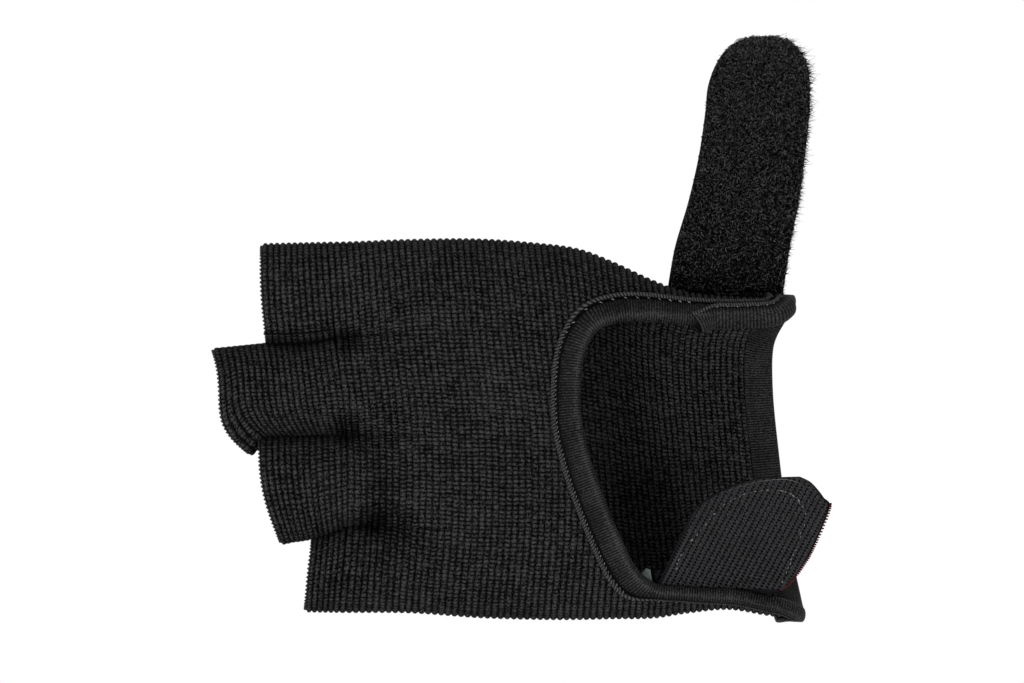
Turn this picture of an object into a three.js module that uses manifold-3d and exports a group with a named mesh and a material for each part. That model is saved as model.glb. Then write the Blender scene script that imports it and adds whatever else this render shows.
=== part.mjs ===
// Fingerless fitness glove for a left hand, shown as it is worn with its wrist closure undone.
// A ribbed knit shell has four open finger stalls and a thumb hole. A folded elastic tape binds its wrist
// opening, which gapes over the back of the hand. A loop-faced strap stands up from the index-finger side
// and a hook-faced tab lies over the opening from the little-finger side.
//
// Millimetres. +X runs from the fingers to the wrist, +Z from the little finger to the index finger, and
// -Y out of the back of the hand. The origin is in the hand's hollow, in the middle of the palm.

import * as THREE from "three";
import { mergeVertices } from "three/addons/utils/BufferGeometryUtils.js";
import Module from "manifold-3d";

const wasm = await Module();
wasm.setup();

// Driving dimensions
const WALL = 1.3; // thickness of the knit
const RIB_PITCH = 1.56; // one knitted rib
const GAP = 0.3; // clearance between neighbouring pieces
const FOLD_GAP = 0.38; // clearance between the knit and the tape folded over it
const BINDING_TAPE = 0.6; // thickness of the binding tape
const BINDING_LEG = 6; // how far the folded tape reaches over the knit
const THUMB_LEG = 3.4;
const STRAP_BASE = 0.9; // thickness of the strap's woven backing
const LOOP_PILE = 1.7; // height of the soft loops
const TAB_BASE = 0.8;
const HOOK_FACE = 1.1;
const LABEL_THICKNESS = 0.6;
const CROTCH_HALF = 1.3; // half the depth of the web between two fingers
const SLIT_HALF = 0.92; // half the gap between the middles of two stalls' walls
const KNUCKLE_FADE = 15; // ribs over which the knuckle lobes melt into the oval palm
const LOBE_SQUARE = 2.2; // 2 for round stalls and more for boxy ones
const SLIT_ROUND = 5; // ribs over which a slit closes at its web

// Ribs are counted along the hand. Rib 0 is the index stall's mouth.
const RIB_ZERO_X = -49.9;
const BASE_RIB = 10; // the stalls' foot
const HEM_RIB = 82; // the wrist hem

const STALL_ROOT_X = -30; // where the stalls take their middle height from the palm

const COLUMNS = 8; // faces across one finger's width
const PALM_RIBS = [10, 12, 14, 17, 21, 26, 31, 37, 42, 46, 50, 54, 58, 62, 66, 70, 74, 79, 84];
const BINDING_STEPS = 118;
const THUMB_STEPS = 30;
const FINE_STEPS = 12; // points worked out along a line for each one kept
const PLUG_STEPS = 12;
const PLUG_THICKNESS = 4 * WALL;
const HALVINGS = 30; // steps of a search by halving

// The stalls of the index, middle, ring and little finger. Heights are of the outer surface at the mouth. The
// corner below some mouths hangs lower than the stall, by corner. bow is how far the mouth stands out: half-way
// down it where bowPower is 1, and lower down where that is more.
const STALLS = [
  {
    mouthRib: 0, topX: -49.9, top: 44.7, bottomX: -48.6, bottom: 20.6, corner: 0, bow: 0.45, bowPower: 1,
    mouthHalfDepth: 10.6, mouthY: 3.2, halfDepth: 10.4, foot: 0.25,
  },
  {
    mouthRib: -9, topX: -61.6, top: 19.7, bottomX: -53, bottom: -1.9, corner: 4.4, bow: 3.5, bowPower: 2,
    mouthHalfDepth: 10.6, mouthY: 3.6, halfDepth: 11, foot: 0.522,
  },
  {
    mouthRib: -2, topX: -50.4, top: -1.6, bottomX: -45.3, bottom: -27.2, corner: 0.4, bow: 1.5, bowPower: 1,
    mouthHalfDepth: 9.8, mouthY: 3.4, halfDepth: 10.3, foot: 0.772,
  },
  {
    mouthRib: 5, topX: -37.7, top: -24.9, bottomX: -39.4, bottom: -43.7, corner: 0, bow: 0.1, bowPower: 1,
    mouthHalfDepth: 8.2, mouthY: 3, halfDepth: 8.8, foot: 1,
  },
];
const CORNER_SHARE = 0.1; // how much of a stall's length its hanging corner takes
// The rib where each slit between two stalls ends, and how far its line hangs below a straight one, half-way
// between two places
const SLIT_ENDS = [10, 10, 14];
const SLIT_SAGS = [
  { fromX: -49, toX: -30, by: 0.9 },
  { fromX: -50.4, toX: -30, by: 0 },
  { fromX: -45.3, toX: -29.4, by: 1 },
];

// The outer outline seen from the back of the hand, and how deep the oval section is on each side of it.
// edgeTop and edgeBottom are the Y of the outline itself, and square is 2 for an ellipse and more for a box.
const OUTLINE = [
  { x: -40, top: 45, bottom: -43.7, back: 12.6, palm: 14.5, edgeTop: 1.5, edgeBottom: 2.2, square: 2.4 },
  { x: -30, top: 45.1, bottom: -43.8, back: 13.2, palm: 15.5, edgeTop: 1.4, edgeBottom: 2, square: 2.5 },
  { x: -14, top: 45.7, bottom: -43.9, back: 14.2, palm: 17.5, edgeTop: 1, edgeBottom: 1.6, square: 2.6 },
  { x: 2, top: 45.8, bottom: -45, back: 15, palm: 20, edgeTop: 0.6, edgeBottom: 1, square: 2.7 },
  { x: 16, top: 44.8, bottom: -45.4, back: 15.8, palm: 22, edgeTop: 0.2, edgeBottom: 0, square: 2.8 },
  { x: 26, top: 43.4, bottom: -45.4, back: 16.6, palm: 22.4, edgeTop: 0, edgeBottom: -1, square: 2.9 },
  { x: 34, top: 40.4, bottom: -45.2, back: 17.4, palm: 22, edgeTop: 0, edgeBottom: -1.8, square: 3 },
  { x: 44, top: 35.8, bottom: -45, back: 18, palm: 21, edgeTop: -0.3, edgeBottom: -2.6, square: 3 },
  { x: 52, top: 33, bottom: -43.8, back: 18.4, palm: 20, edgeTop: -0.6, edgeBottom: -3.4, square: 3 },
  { x: 62, top: 32, bottom: -42.9, back: 18.8, palm: 19.4, edgeTop: -0.8, edgeBottom: -4, square: 3 },
  { x: 72, top: 31.6, bottom: -44.4, back: 19, palm: 19.2, edgeTop: -0.8, edgeBottom: -4, square: 3 },
  { x: 82, top: 31.4, bottom: -45.2, back: 19, palm: 19.4, edgeTop: -0.8, edgeBottom: -4, square: 3 },
];

// How far the ribs lean towards the wrist across the back, from the index edge (0) to the other (1)
const LEAN = [
  { across: 0, back: 0, palm: 0 },
  { across: 0.25, back: 2.2, palm: 0.8 },
  { across: 0.5, back: 4.8, palm: 1.6 },
  { across: 0.75, back: 4.9, palm: 2.2 },
  { across: 1, back: 2.9, palm: 2.9 },
];
const LEAN_FADES_FROM = 0.545; // share of the way to the hem after which the ribs straighten

// The hem's X, from the index edge (0) round to the other (1)
const HEM = [
  { across: 0, back: 77.4, palm: 77.4 },
  { across: 0.15, back: 78.5, palm: 72.5 },
  { across: 0.5, back: 79, palm: 74 },
  { across: 0.85, back: 79.4, palm: 77.5 },
  { across: 1, back: 79.6, palm: 79.6 },
];

// The knit's edge round the wrist opening, over the back of the hand, from the index-side corner of the hem
// round the C-shaped cut-out to the corner on the little-finger side
const OPENING_EDGE = [
  { x: 76.6, z: 29.4 },
  { x: 73.6, z: 27.2 },
  { x: 65, z: 26.3 },
  { x: 54, z: 26.2 },
  { x: 44, z: 26.8 },
  { x: 35, z: 26.4 },
  { x: 29.6, z: 24 },
  { x: 26.6, z: 18 },
  { x: 25.7, z: 9 },
  { x: 26.2, z: 1 },
  { x: 28.4, z: -8 },
  { x: 31.6, z: -17 },
  { x: 35.4, z: -26 },
  { x: 39, z: -33 },
  { x: 43.6, z: -37.2 },
  { x: 51, z: -38.2 },
  { x: 60, z: -38.8 },
  { x: 69, z: -40.2 },
  { x: 75, z: -41.6 },
  { x: 79, z: -43.4 },
];
const PAST_HEM = 88; // an X beyond every part of the hem
// Where the line round the palm side of the hem is read, in degrees, and how far it stays off the corners
const HEM_ANGLES = [206, 224, 245, 270, 295, 316, 334, 348];
const CORNER_ANGLES = { low: 12, high: 13 };

// A fold bulges past the edge by a share of its tape and is round down to a share of its height. It reaches
// into the fabric by no more than a share of the bend's radius.
const FOLD_BULGE = 0.7;
const FOLD_SHOULDER = 0.6;
const BEND_SHARE = 0.8;

// The thumb hole, on the palm side under the index finger, in degrees round the section
const THUMB = { x: 4, angle: -46, alongHalf: 15, roundHalf: 21, tilt: 0.3 };

// The binding's end laps over its start on the index side of the opening. The lap starts at an X, where its
// tape has slid off the edge by a drop, and it comes square over a slide.
const LAP = { fromX: 53.6, slide: 6.7, drop: 2.6, startReach: 0.9, reach: 4.6, tape: 0.5 };

// The strap, seen from the back of the hand: its edges at each height. Where free is 0 it lies on the cuff's
// palm side, and where free is 1 it stands at y.
const STRAP = [
  { z: 15, left: 45.4, right: 71.6, y: 18, free: 0 },
  { z: 19, left: 45.8, right: 72.4, y: 17, free: 0 },
  { z: 22.5, left: 46.2, right: 73, y: 15.4, free: 0 },
  { z: 26, left: 46.6, right: 73.8, y: 13.4, free: 0.1 },
  { z: 29.4, left: 47.1, right: 74.8, y: 11, free: 0.9 },
  { z: 33.2, left: 47.5, right: 75.4, y: 9.4, free: 1 },
  { z: 38, left: 48.2, right: 76.1, y: 7.8, free: 1 },
  { z: 44.4, left: 49.4, right: 77, y: 6.2, free: 1 },
  { z: 55, left: 52.5, right: 79.1, y: 4.4, free: 1 },
  { z: 66, left: 55, right: 80.5, y: 4.2, free: 1 },
  { z: 76.8, left: 56.6, right: 81.7, y: 5.4, free: 1 },
  { z: 82.5, left: 57.2, right: 81.7, y: 6.4, free: 1 },
  { z: 87.6, left: 59, right: 81.2, y: 7.4, free: 1 },
  { z: 91.2, left: 61.4, right: 79.2, y: 8.2, free: 1 },
  { z: 93.6, left: 64.6, right: 76.6, y: 8.8, free: 1 },
  { z: 94.7, left: 68.6, right: 73.6, y: 9, free: 1 },
];
const PILE_FROM = 5; // the loops start at this row of STRAP
const PILE_INSET = 0.3; // bare margin round the loops
// Where the strap climbs onto the binding's fold, by X
const HEM_FOLD = { from: 60, to: 65 };

// The tab: a sloping tape that follows the wrist. Each row runs from its left edge to its right one.
const TAB = [
  { leftX: 43.2, leftZ: -38.9, rightX: 72.4, rightZ: -39.1 },
  { leftX: 45.4, leftZ: -35.4, rightX: 76, rightZ: -36.6 },
  { leftX: 47.9, leftZ: -30, rightX: 79.8, rightZ: -31.6 },
  { leftX: 50.6, leftZ: -24.3, rightX: 82.7, rightZ: -26 },
  { leftX: 53.3, leftZ: -18.5, rightX: 85.6, rightZ: -18.2 },
  { leftX: 57.6, leftZ: -15.2, rightX: 83.6, rightZ: -15 },
  { leftX: 63.6, leftZ: -12.6, rightX: 81.8, rightZ: -12.6 },
  { leftX: 70.6, leftZ: -11.3, rightX: 78.6, rightZ: -11.3 },
];
// How far inside the knit's middle the tab lies, from its sewn end to its tip
const TAB_INSET = 2.5;
const TAB_TIP_INSET = 0.6;
const HOOK_MARGIN = 0.5; // bare margin round the hooks

// The corner of a woven label, sewn inside the wing beside the tab
const INNER_LABEL = [
  { leftX: 33.5, leftZ: -39.6, rightX: 43.2, rightZ: -39.4 },
  { leftX: 33.7, leftZ: -36, rightX: 43.1, rightZ: -36.8 },
  { leftX: 38.6, leftZ: -33.2, rightX: 41.9, rightZ: -33.4 },
];
const LABEL_INSET = 3.9;

const DEGREE = Math.PI / 180;
const lerp = (a, b, share) => a + (b - a) * share;
const clamp01 = (v) => Math.min(1, Math.max(0, v));
const smooth = (v) => v * v * (3 - 2 * v);

// A smooth curve through one column of a table, read at any value of its key column.
function curve(table, key, column) {
  const xs = table.map((row) => row[key]);
  const ys = table.map((row) => row[column]);
  const last = xs.length - 1;
  const slopes = xs.map((_, i) => {
    const a = Math.max(0, i - 1);
    const b = Math.min(last, i + 1);
    return (ys[b] - ys[a]) / (xs[b] - xs[a]);
  });
  return (at) => {
    const x = Math.min(xs[last], Math.max(xs[0], at));
    let i = 0;
    while (i < last - 1 && x > xs[i + 1]) i += 1;
    const span = xs[i + 1] - xs[i];
    const u = (x - xs[i]) / span;
    const v = 1 - u;
    return (
      ys[i] * v * v * (1 + 2 * u) +
      slopes[i] * span * u * v * v +
      ys[i + 1] * u * u * (1 + 2 * v) -
      slopes[i + 1] * span * u * u * v
    );
  };
}

// Every column of a table as a curve, by the column's name.
function curves(table, key) {
  const columns = Object.keys(table[0]).filter((name) => name !== key);
  return Object.fromEntries(columns.map((name) => [name, curve(table, key, name)]));
}

const outline = curves(OUTLINE, "x");
const lean = curves(LEAN, "across");
const hem = curves(HEM, "across");
const strapAt = curves(STRAP, "z");

// The knit's middle surface on the smooth oval hand: x along the hand, across from 0 at the index edge to 1
// at the other, and side -1 on the back of the hand or +1 on the palm.
function ovalPoint(x, across, side) {
  const top = outline.top(x) - WALL / 2;
  const bottom = outline.bottom(x) + WALL / 2;
  const c = 1 - 2 * across;
  const edge = c > 0 ? outline.edgeTop(x) : outline.edgeBottom(x);
  const depth = side < 0 ? -outline.back(x) : outline.palm(x);
  const share = Math.sqrt(Math.max(0, 1 - Math.abs(c) ** outline.square(x)));
  return new THREE.Vector3(x, lerp(edge, depth, share), lerp(top, bottom, across));
}

// The same surface by the angle round the section, in degrees: 0 at the index edge, 90 on the back.
function ringPoint(x, angle) {
  return ovalPoint(x, (1 - Math.cos(angle * DEGREE)) / 2, Math.sin(angle * DEGREE) > 0 ? -1 : 1);
}

// The x of a rib on the palm part, which leans across the hand and straightens towards the hem.
function ribX(rib, across, side) {
  const column = side < 0 ? "back" : "palm";
  const along = (rib - BASE_RIB) / (HEM_RIB - BASE_RIB);
  const start = RIB_ZERO_X + BASE_RIB * RIB_PITCH;
  const straight = smooth(clamp01((along - LEAN_FADES_FROM) / (1 - LEAN_FADES_FROM)));
  return lerp(start, hem[column](across), along) + lean[column](across) * (1 - straight);
}

// Depth of a stall-shaped lobe at a place across it, 0 to 1. outer tells which of its edges is the hand's own.
function lobeDepth(halfDepth, within, outer) {
  const atEdge = outer[0] || outer[1] ? (outer[0] ? within : 1 - within) : 1;
  const foot = CROTCH_HALF * Math.sqrt(atEdge);
  return foot + (halfDepth - foot) * Math.sqrt(Math.max(0, 1 - Math.abs(2 * within - 1) ** LOBE_SQUARE));
}

// A point of the knit's middle surface in the width of one finger, at a rib, for both stall and palm.
function knitPoint(finger, rib, within, side) {
  const stall = STALLS[finger];
  const from = finger ? STALLS[finger - 1].foot : 0;
  const across = lerp(from, stall.foot, within);
  const outer = [finger === 0, finger === STALLS.length - 1];
  const gapAbove = outer[0] ? WALL / 2 : slitHalf(finger - 1, rib);
  const gapBelow = outer[1] ? WALL / 2 : slitHalf(finger, rib);
  const centreY = lerp(outline.edgeTop(STALL_ROOT_X), outline.edgeBottom(STALL_ROOT_X), across);
  if (rib < BASE_RIB) {
    const share = (rib - stall.mouthRib) / (BASE_RIB - stall.mouthRib);
    const foot = knitPoint(finger, BASE_RIB, within, side);
    const corner = stall.corner * within * clamp01(1 - share / CORNER_SHARE);
    const mouthZ = lerp(stall.top - gapAbove, stall.bottom + gapBelow, within);
    const mouthX = lerp(stall.topX, stall.bottomX, within);
    const bow = stall.bow * Math.sin(Math.PI * within ** stall.bowPower) * (1 - share);
    const depth = lerp(stall.mouthHalfDepth, stall.halfDepth, share) - WALL / 2;
    const y = lerp(stall.mouthY, centreY, smooth(share)) + side * lobeDepth(depth, within, outer);
    const squeezeBelow = gapBelow - slitHalf(finger, BASE_RIB);
    const squeezeAbove = gapAbove - slitHalf(finger - 1, BASE_RIB);
    const squeeze = (outer[1] ? 0 : squeezeBelow * within) - (outer[0] ? 0 : squeezeAbove * (1 - within));
    const x = lerp(mouthX, foot.x, share) - bow;
    const sag = lerp(slitSag(finger - 1, x), slitSag(finger, x), within);
    return new THREE.Vector3(x, y, lerp(mouthZ, foot.z + squeeze, share) - corner - sag);
  }
  const x = ribX(rib, across, side);
  const point = ovalPoint(x, across, side);
  const slitEnd = lerp(SLIT_ENDS[Math.max(0, finger - 1)], SLIT_ENDS[Math.min(2, finger)], within);
  const fade = clamp01((rib - slitEnd) / KNUCKLE_FADE);
  const lobed = centreY + side * lobeDepth(stall.halfDepth - WALL / 2, within, outer);
  point.y = lerp(lobed, point.y, fade * (2 - fade));
  point.z += slitHalf(finger, rib) * within - slitHalf(finger - 1, rib) * (1 - within);
  return point;
}

// Half the gap between two stalls at a rib. It closes in a round end at the web.
function slitHalf(slit, rib) {
  if (slit < 0 || slit >= SLIT_ENDS.length) return 0;
  return SLIT_HALF * Math.sqrt(Math.sqrt(clamp01((SLIT_ENDS[slit] - rib) / SLIT_ROUND)));
}

// How far a slit's line hangs at an x.
function slitSag(slit, x) {
  if (slit < 0 || slit >= SLIT_ENDS.length) return 0;
  const { fromX, toX, by } = SLIT_SAGS[slit];
  const share = clamp01((x - fromX) / (toX - fromX));
  return by * 4 * share * (1 - share);
}

// A mesh under construction: points are shared by place, faces are quads or triangles of points.
class Skin {
  constructor() {
    this.points = [];
    this.index = new Map();
    this.faces = [];
  }
  add(point) {
    const key = [point.x, point.y, point.z].map((v) => Math.round(v * 1e3)).join();
    if (!this.index.has(key)) this.index.set(key, this.points.push(point) - 1);
    return this.index.get(key);
  }
  triangle(a, b, c) {
    if (a !== b && b !== c && c !== a) this.faces.push([a, b, c]);
  }
  // rows of points, each as long as the last
  sheet(rows, flip) {
    const ids = rows.map((row) => row.map((p) => this.add(p)));
    for (let i = 0; i + 1 < ids.length; i += 1) {
      for (let j = 0; j + 1 < ids[i].length; j += 1) {
        const quad = [ids[i][j], ids[i + 1][j], ids[i + 1][j + 1], ids[i][j + 1]];
        if (flip) quad.reverse();
        this.triangle(quad[0], quad[1], quad[2]);
        this.triangle(quad[0], quad[2], quad[3]);
      }
    }
  }
  normals() {
    const sums = this.points.map(() => new THREE.Vector3());
    for (const [a, b, c] of this.faces) {
      const ab = this.points[b].clone().sub(this.points[a]);
      const ac = this.points[c].clone().sub(this.points[a]);
      const area = ab.cross(ac);
      for (const v of [a, b, c]) sums[v].add(area);
    }
    return sums.map((v) => v.normalize());
  }
  // This sheet as a closed wall, half its thickness on each side.
  thickened(thickness, normals = this.normals()) {
    const wall = new Skin();
    wall.points = [1, -1].flatMap((way) =>
      this.points.map((p, i) => p.clone().addScaledVector(normals[i], (way * thickness) / 2)),
    );
    const count = this.points.length;
    const edges = new Set();
    for (const [a, b, c] of this.faces) {
      wall.faces.push([a, b, c], [a + count, c + count, b + count]);
      for (const edge of [[a, b], [b, c], [c, a]]) edges.add(edge.join());
    }
    for (const edge of edges) {
      const [a, b] = edge.split(",").map(Number);
      if (!edges.has([b, a].join())) wall.faces.push([b, a, a + count], [b, a + count, b + count]);
    }
    return wall;
  }
  // The closed body, whichever way round its faces were listed
  outward() {
    const made = this.solid();
    if (made.volume() > 0) return made;
    this.faces.forEach((face) => face.reverse());
    return this.solid();
  }
  solid() {
    const vertProperties = new Float32Array(this.points.flatMap((p) => [p.x, p.y, p.z]));
    const triVerts = new Uint32Array(this.faces.flat());
    return new wasm.Manifold(new wasm.Mesh({ numProp: 3, vertProperties, triVerts }));
  }
}

// A closed body from rings of points, joined end to end, or closed at both ends by the faces given.
function loft(rings, endFaces) {
  const skin = new Skin();
  const ids = rings.map((ring) => ring.map((p) => skin.points.push(p) - 1));
  const count = ids[0].length;
  const joints = endFaces ? ids.length - 1 : ids.length;
  for (let i = 0; i < joints; i += 1) {
    const here = ids[i];
    const next = ids[(i + 1) % ids.length];
    for (let j = 0; j < count; j += 1) {
      const k = (j + 1) % count;
      skin.faces.push([here[j], next[j], next[k]], [here[j], next[k], here[k]]);
    }
  }
  for (const [a, b, c] of endFaces || []) {
    const [first, last] = [ids[0], ids[ids.length - 1]];
    skin.faces.push([first[a], first[b], first[c]], [last[a], last[c], last[b]]);
  }
  return skin.outward();
}

// A sheet of middle points as a body of some thickness, moved off its middle by a shift.
function slab(rows, thickness, shift = 0) {
  const sheet = new Skin();
  sheet.sheet(rows, false);
  const normals = sheet.normals();
  sheet.points = sheet.points.map((p, i) => p.clone().addScaledVector(normals[i], shift));
  return sheet.thickened(thickness).outward();
}

// Position, outward normal and both tangents of the oval skin at x and angle.
function skinFrame(x, angle) {
  const step = 0.05;
  const point = ringPoint(x, angle);
  const alongX = ringPoint(x + step, angle).sub(ringPoint(x - step, angle)).divideScalar(2 * step);
  const aroundA = ringPoint(x, angle + step).sub(ringPoint(x, angle - step)).divideScalar(2 * step);
  const normal = aroundA.clone().cross(alongX).normalize();
  return { point, alongX, aroundA, normal };
}

// A point at a distance from the skin over a place on it.
function offSkin(x, angle, height) {
  const { point, normal } = skinFrame(x, angle);
  return point.addScaledVector(normal, height);
}

// A place on the skin as a point on a drum, and back, so that lines can close over the start of the angle.
const DRUM = 25;
const toDrum = ({ x, angle }) =>
  new THREE.Vector3(x, DRUM * Math.cos(angle * DEGREE), DRUM * Math.sin(angle * DEGREE));
const fromDrum = (p) => ({ x: p.x, angle: Math.atan2(p.z, p.y) / DEGREE });

// The point at a distance from the skin that has this x and this z. side is -1 for the back of the hand.
function besideSkin(x, z, side, height) {
  let [high, low] = [0, 180];
  for (let i = 0; i < HALVINGS; i += 1) {
    const middle = (high + low) / 2;
    if (offSkin(x, -side * middle, height).z > z) high = middle;
    else low = middle;
  }
  return offSkin(x, -side * high, height);
}

// A closed line on the skin, as evenly spaced places with the way into the fabric. inward is +1 or -1.
function lineOnSkin(places, steps, inward) {
  const smoothLine = new THREE.CatmullRomCurve3(places.map(toDrum), true, "centripetal");
  const count = steps * FINE_STEPS;
  const fine = Array.from({ length: count }, (_, i) => smoothLine.getPoint(i / count));
  const onSkin = fine.map((p) => ringPoint(p.x, fromDrum(p).angle));
  const lengths = [0];
  onSkin.forEach((p, i) => lengths.push(lengths[i] + p.distanceTo(onSkin[(i + 1) % count])));
  const total = lengths[count];
  const line = Array.from({ length: steps }, (_, i) => {
    const at = (total * i) / steps;
    let k = 0;
    while (lengths[k + 1] <= at) k += 1;
    const share = (at - lengths[k]) / (lengths[k + 1] - lengths[k]);
    const place = fromDrum(fine[k].clone().lerp(fine[(k + 1) % count], share));
    const before = onSkin[(k + count - 3) % count];
    const after = onSkin[(k + 4) % count];
    const frame = skinFrame(place.x, place.angle);
    const tangent = after.clone().sub(before).normalize();
    const into = frame.normal.clone().cross(tangent).normalize().multiplyScalar(inward);
    // The same step as a change of x and of angle
    const xx = frame.alongX.dot(frame.alongX);
    const xa = frame.alongX.dot(frame.aroundA);
    const aa = frame.aroundA.dot(frame.aroundA);
    const ix = frame.alongX.dot(into);
    const ia = frame.aroundA.dot(into);
    const det = xx * aa - xa * xa;
    return {
      x: place.x,
      angle: place.angle,
      into,
      stepX: (ix * aa - ia * xa) / det,
      stepAngle: (ia * xx - ix * xa) / det,
      tangent,
      ...frame,
    };
  });
  // How far a fold can reach into the fabric before it meets itself on the inside of a bend
  const bends = line.map(({ into }, i) => {
    const turn = line[(i + 1) % steps].tangent.clone().sub(line[(i + steps - 1) % steps].tangent);
    return Math.max(0, (turn.dot(into) * steps) / (2 * total));
  });
  line.forEach((place, i) => {
    const near = [-2, -1, 0, 1, 2].map((k) => bends[(i + k + steps) % steps]);
    place.room = BEND_SHARE / Math.max(1e-6, ...near);
  });
  return line;
}

// A tape folded over the knit's edge, as a ring of points at one place. reach is how far it goes into the
// fabric, lip how far its fold stands off the edge, inner and outer its two faces' distances from the skin.
function foldedTape(place, { reach, lip, inner, outer }) {
  const leg = Math.min(reach, place.room);
  const put = (depth, height) =>
    depth > 0
      ? offSkin(place.x + place.stepX * depth, place.angle + place.stepAngle * depth, height)
      : place.point.clone().addScaledVector(place.into, depth).addScaledVector(place.normal, height);
  const fold = lip + (outer - inner) * FOLD_BULGE;
  return [
    put(leg, outer),
    put(leg / 2, outer),
    put(0, outer),
    put(-fold, outer * FOLD_SHOULDER),
    put(-fold, -outer * FOLD_SHOULDER),
    put(0, -outer),
    put(leg / 2, -outer),
    put(leg, -outer),
    put(leg, -inner),
    put(leg / 2, -inner),
    put(-lip, -inner),
    put(-lip, inner),
    put(leg / 2, inner),
    put(leg, inner),
  ];
}

// The faces that close an end of a folded tape, by the order of its ring's points
const FOLD_END = [
  [0, 1, 12], [0, 12, 13], [1, 2, 11], [1, 11, 12], [2, 3, 11], [3, 4, 10], [3, 10, 11],
  [4, 5, 10], [5, 6, 9], [5, 9, 10], [6, 7, 8], [6, 8, 9],
];

// The stretch of skin between two closed lines as a thick plug, to cut an opening with.
function plug(line, ends) {
  const skin = new Skin();
  const normals = [];
  const shares = Array.from({ length: PLUG_STEPS + 1 }, (_, i) => i / PLUG_STEPS);
  const rows = shares.map((share) => {
    const row = line.map((p, i) => {
      const frame = skinFrame(lerp(p.x, ends[i].x, share), lerp(p.angle, ends[i].angle, share));
      normals[skin.add(frame.point)] = frame.normal;
      return frame.point;
    });
    return [...row, row[0]];
  });
  skin.sheet(rows, false);
  return skin.thickened(PLUG_THICKNESS, normals).outward();
}

// The angle round the back of the hand at which the skin has this z.
function angleAt(x, z) {
  const top = outline.top(x) - WALL / 2;
  const bottom = outline.bottom(x) + WALL / 2;
  return Math.acos(Math.min(1, Math.max(-1, 1 - (2 * (top - z)) / (top - bottom)))) / DEGREE;
}

// The whole edge of the wrist opening: over the back of the hand, then round the palm side by the hem.
function wristPlaces() {
  const back = OPENING_EDGE.map(({ x, z }) => ({ x, angle: angleAt(x, z) }));
  const low = back[back.length - 1].angle + CORNER_ANGLES.low;
  const high = 360 + back[0].angle - CORNER_ANGLES.high;
  const palm = [low, ...HEM_ANGLES, high].map((angle) => {
    const across = (1 - Math.cos(angle * DEGREE)) / 2;
    const column = Math.sin(angle * DEGREE) > 0 ? "back" : "palm";
    return { x: hem[column](across), angle };
  });
  return [...back, ...palm];
}

function thumbPlaces() {
  return Array.from({ length: THUMB_STEPS }, (_, i) => {
    const turn = (2 * Math.PI * i) / THUMB_STEPS;
    const along = Math.cos(turn);
    const round = Math.sin(turn);
    return {
      x: THUMB.x + THUMB.alongHalf * (along - THUMB.tilt * round),
      angle: THUMB.angle + THUMB.roundHalf * round,
    };
  });
}

const wristLine = lineOnSkin(wristPlaces(), BINDING_STEPS, -1);
const thumbLine = lineOnSkin(thumbPlaces(), THUMB_STEPS, 1);

// Pieces

function knitShell() {
  const skin = new Skin();
  const within = Array.from({ length: COLUMNS + 1 }, (_, j) => (1 - Math.cos((Math.PI * j) / COLUMNS)) / 2);
  STALLS.forEach((stall, finger) => {
    const rows = [stall.mouthRib, lerp(stall.mouthRib, BASE_RIB, CORNER_SHARE), ...PALM_RIBS];
    for (const side of [-1, 1]) {
      skin.sheet(rows.map((rib) => within.map((w) => knitPoint(finger, rib, w, side))), side < 0);
    }
    // The stall's own sides, along each slit
    for (const [slit, edge] of [[finger - 1, 0], [finger, 1]]) {
      if (slit < 0 || slit >= SLIT_ENDS.length) continue;
      const free = rows.filter((rib) => rib <= SLIT_ENDS[slit]);
      const sides = free.map((rib) => {
        const back = knitPoint(finger, rib, edge, -1);
        const palm = knitPoint(finger, rib, edge, 1);
        return [back, palm];
      });
      skin.sheet(sides, edge === 1);
    }
  });
  const whole = skin.thickened(WALL).solid();
  const thumbPlug = plug(thumbLine, thumbLine.map(() => THUMB));
  // Over the back of the hand the plug fans out from the cut-out to beyond the hem
  const corner = wristLine.findIndex((p) => p.angle < 0) - 1;
  const beyond = wristLine.map((p, i) => ({
    x: PAST_HEM,
    angle: i < corner ? lerp(wristLine[0].angle, wristLine[corner].angle, i / corner) : p.angle,
  }));
  return whole.subtract(plug(wristLine, beyond)).subtract(thumbPlug);
}

function binding(line, reach) {
  const inner = WALL / 2 + FOLD_GAP;
  const fold = { reach, lip: FOLD_GAP, inner, outer: inner + BINDING_TAPE };
  return loft(line.map((place) => foldedTape(place, fold)));
}

function lappedEnd(line) {
  const inner = WALL / 2 + FOLD_GAP + BINDING_TAPE + GAP;
  const places = line.slice(0, line.findIndex((p) => p.x < LAP.fromX) + 1).reverse();
  const rings = places.map((place) => {
    const share = smooth(clamp01((place.x - places[0].x) / LAP.slide));
    return foldedTape(place, {
      reach: lerp(LAP.startReach, LAP.reach, share),
      lip: FOLD_GAP + BINDING_TAPE + GAP + lerp(LAP.drop, 0, share),
      inner,
      outer: inner + LAP.tape,
    });
  });
  return loft(rings, FOLD_END);
}

// Middle points of the strap from one of its rows up, with a margin left bare.
function strapRows(fromRow, margin) {
  const heights = STRAP.slice(fromRow).map((row) => row.z);
  const overKnit = WALL / 2 + GAP + STRAP_BASE / 2;
  const overBinding = overKnit + BINDING_TAPE + FOLD_GAP;
  return heights.map((z, i) => {
    const cut = i === heights.length - 1 ? z - margin : z;
    const left = strapAt.left(z) + margin;
    const right = strapAt.right(z) - margin;
    return [0, 0.25, 0.5, 0.7, 0.8, 0.9, 1].map((u) => {
      const x = lerp(left, right, u);
      const fold = clamp01((x - HEM_FOLD.from) / (HEM_FOLD.to - HEM_FOLD.from));
      const sewn = besideSkin(x, z, 1, lerp(overKnit, overBinding, fold));
      return new THREE.Vector3(x, Math.max(sewn.y, lerp(sewn.y, strapAt.y(z), strapAt.free(z))), cut);
    });
  });
}

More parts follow.
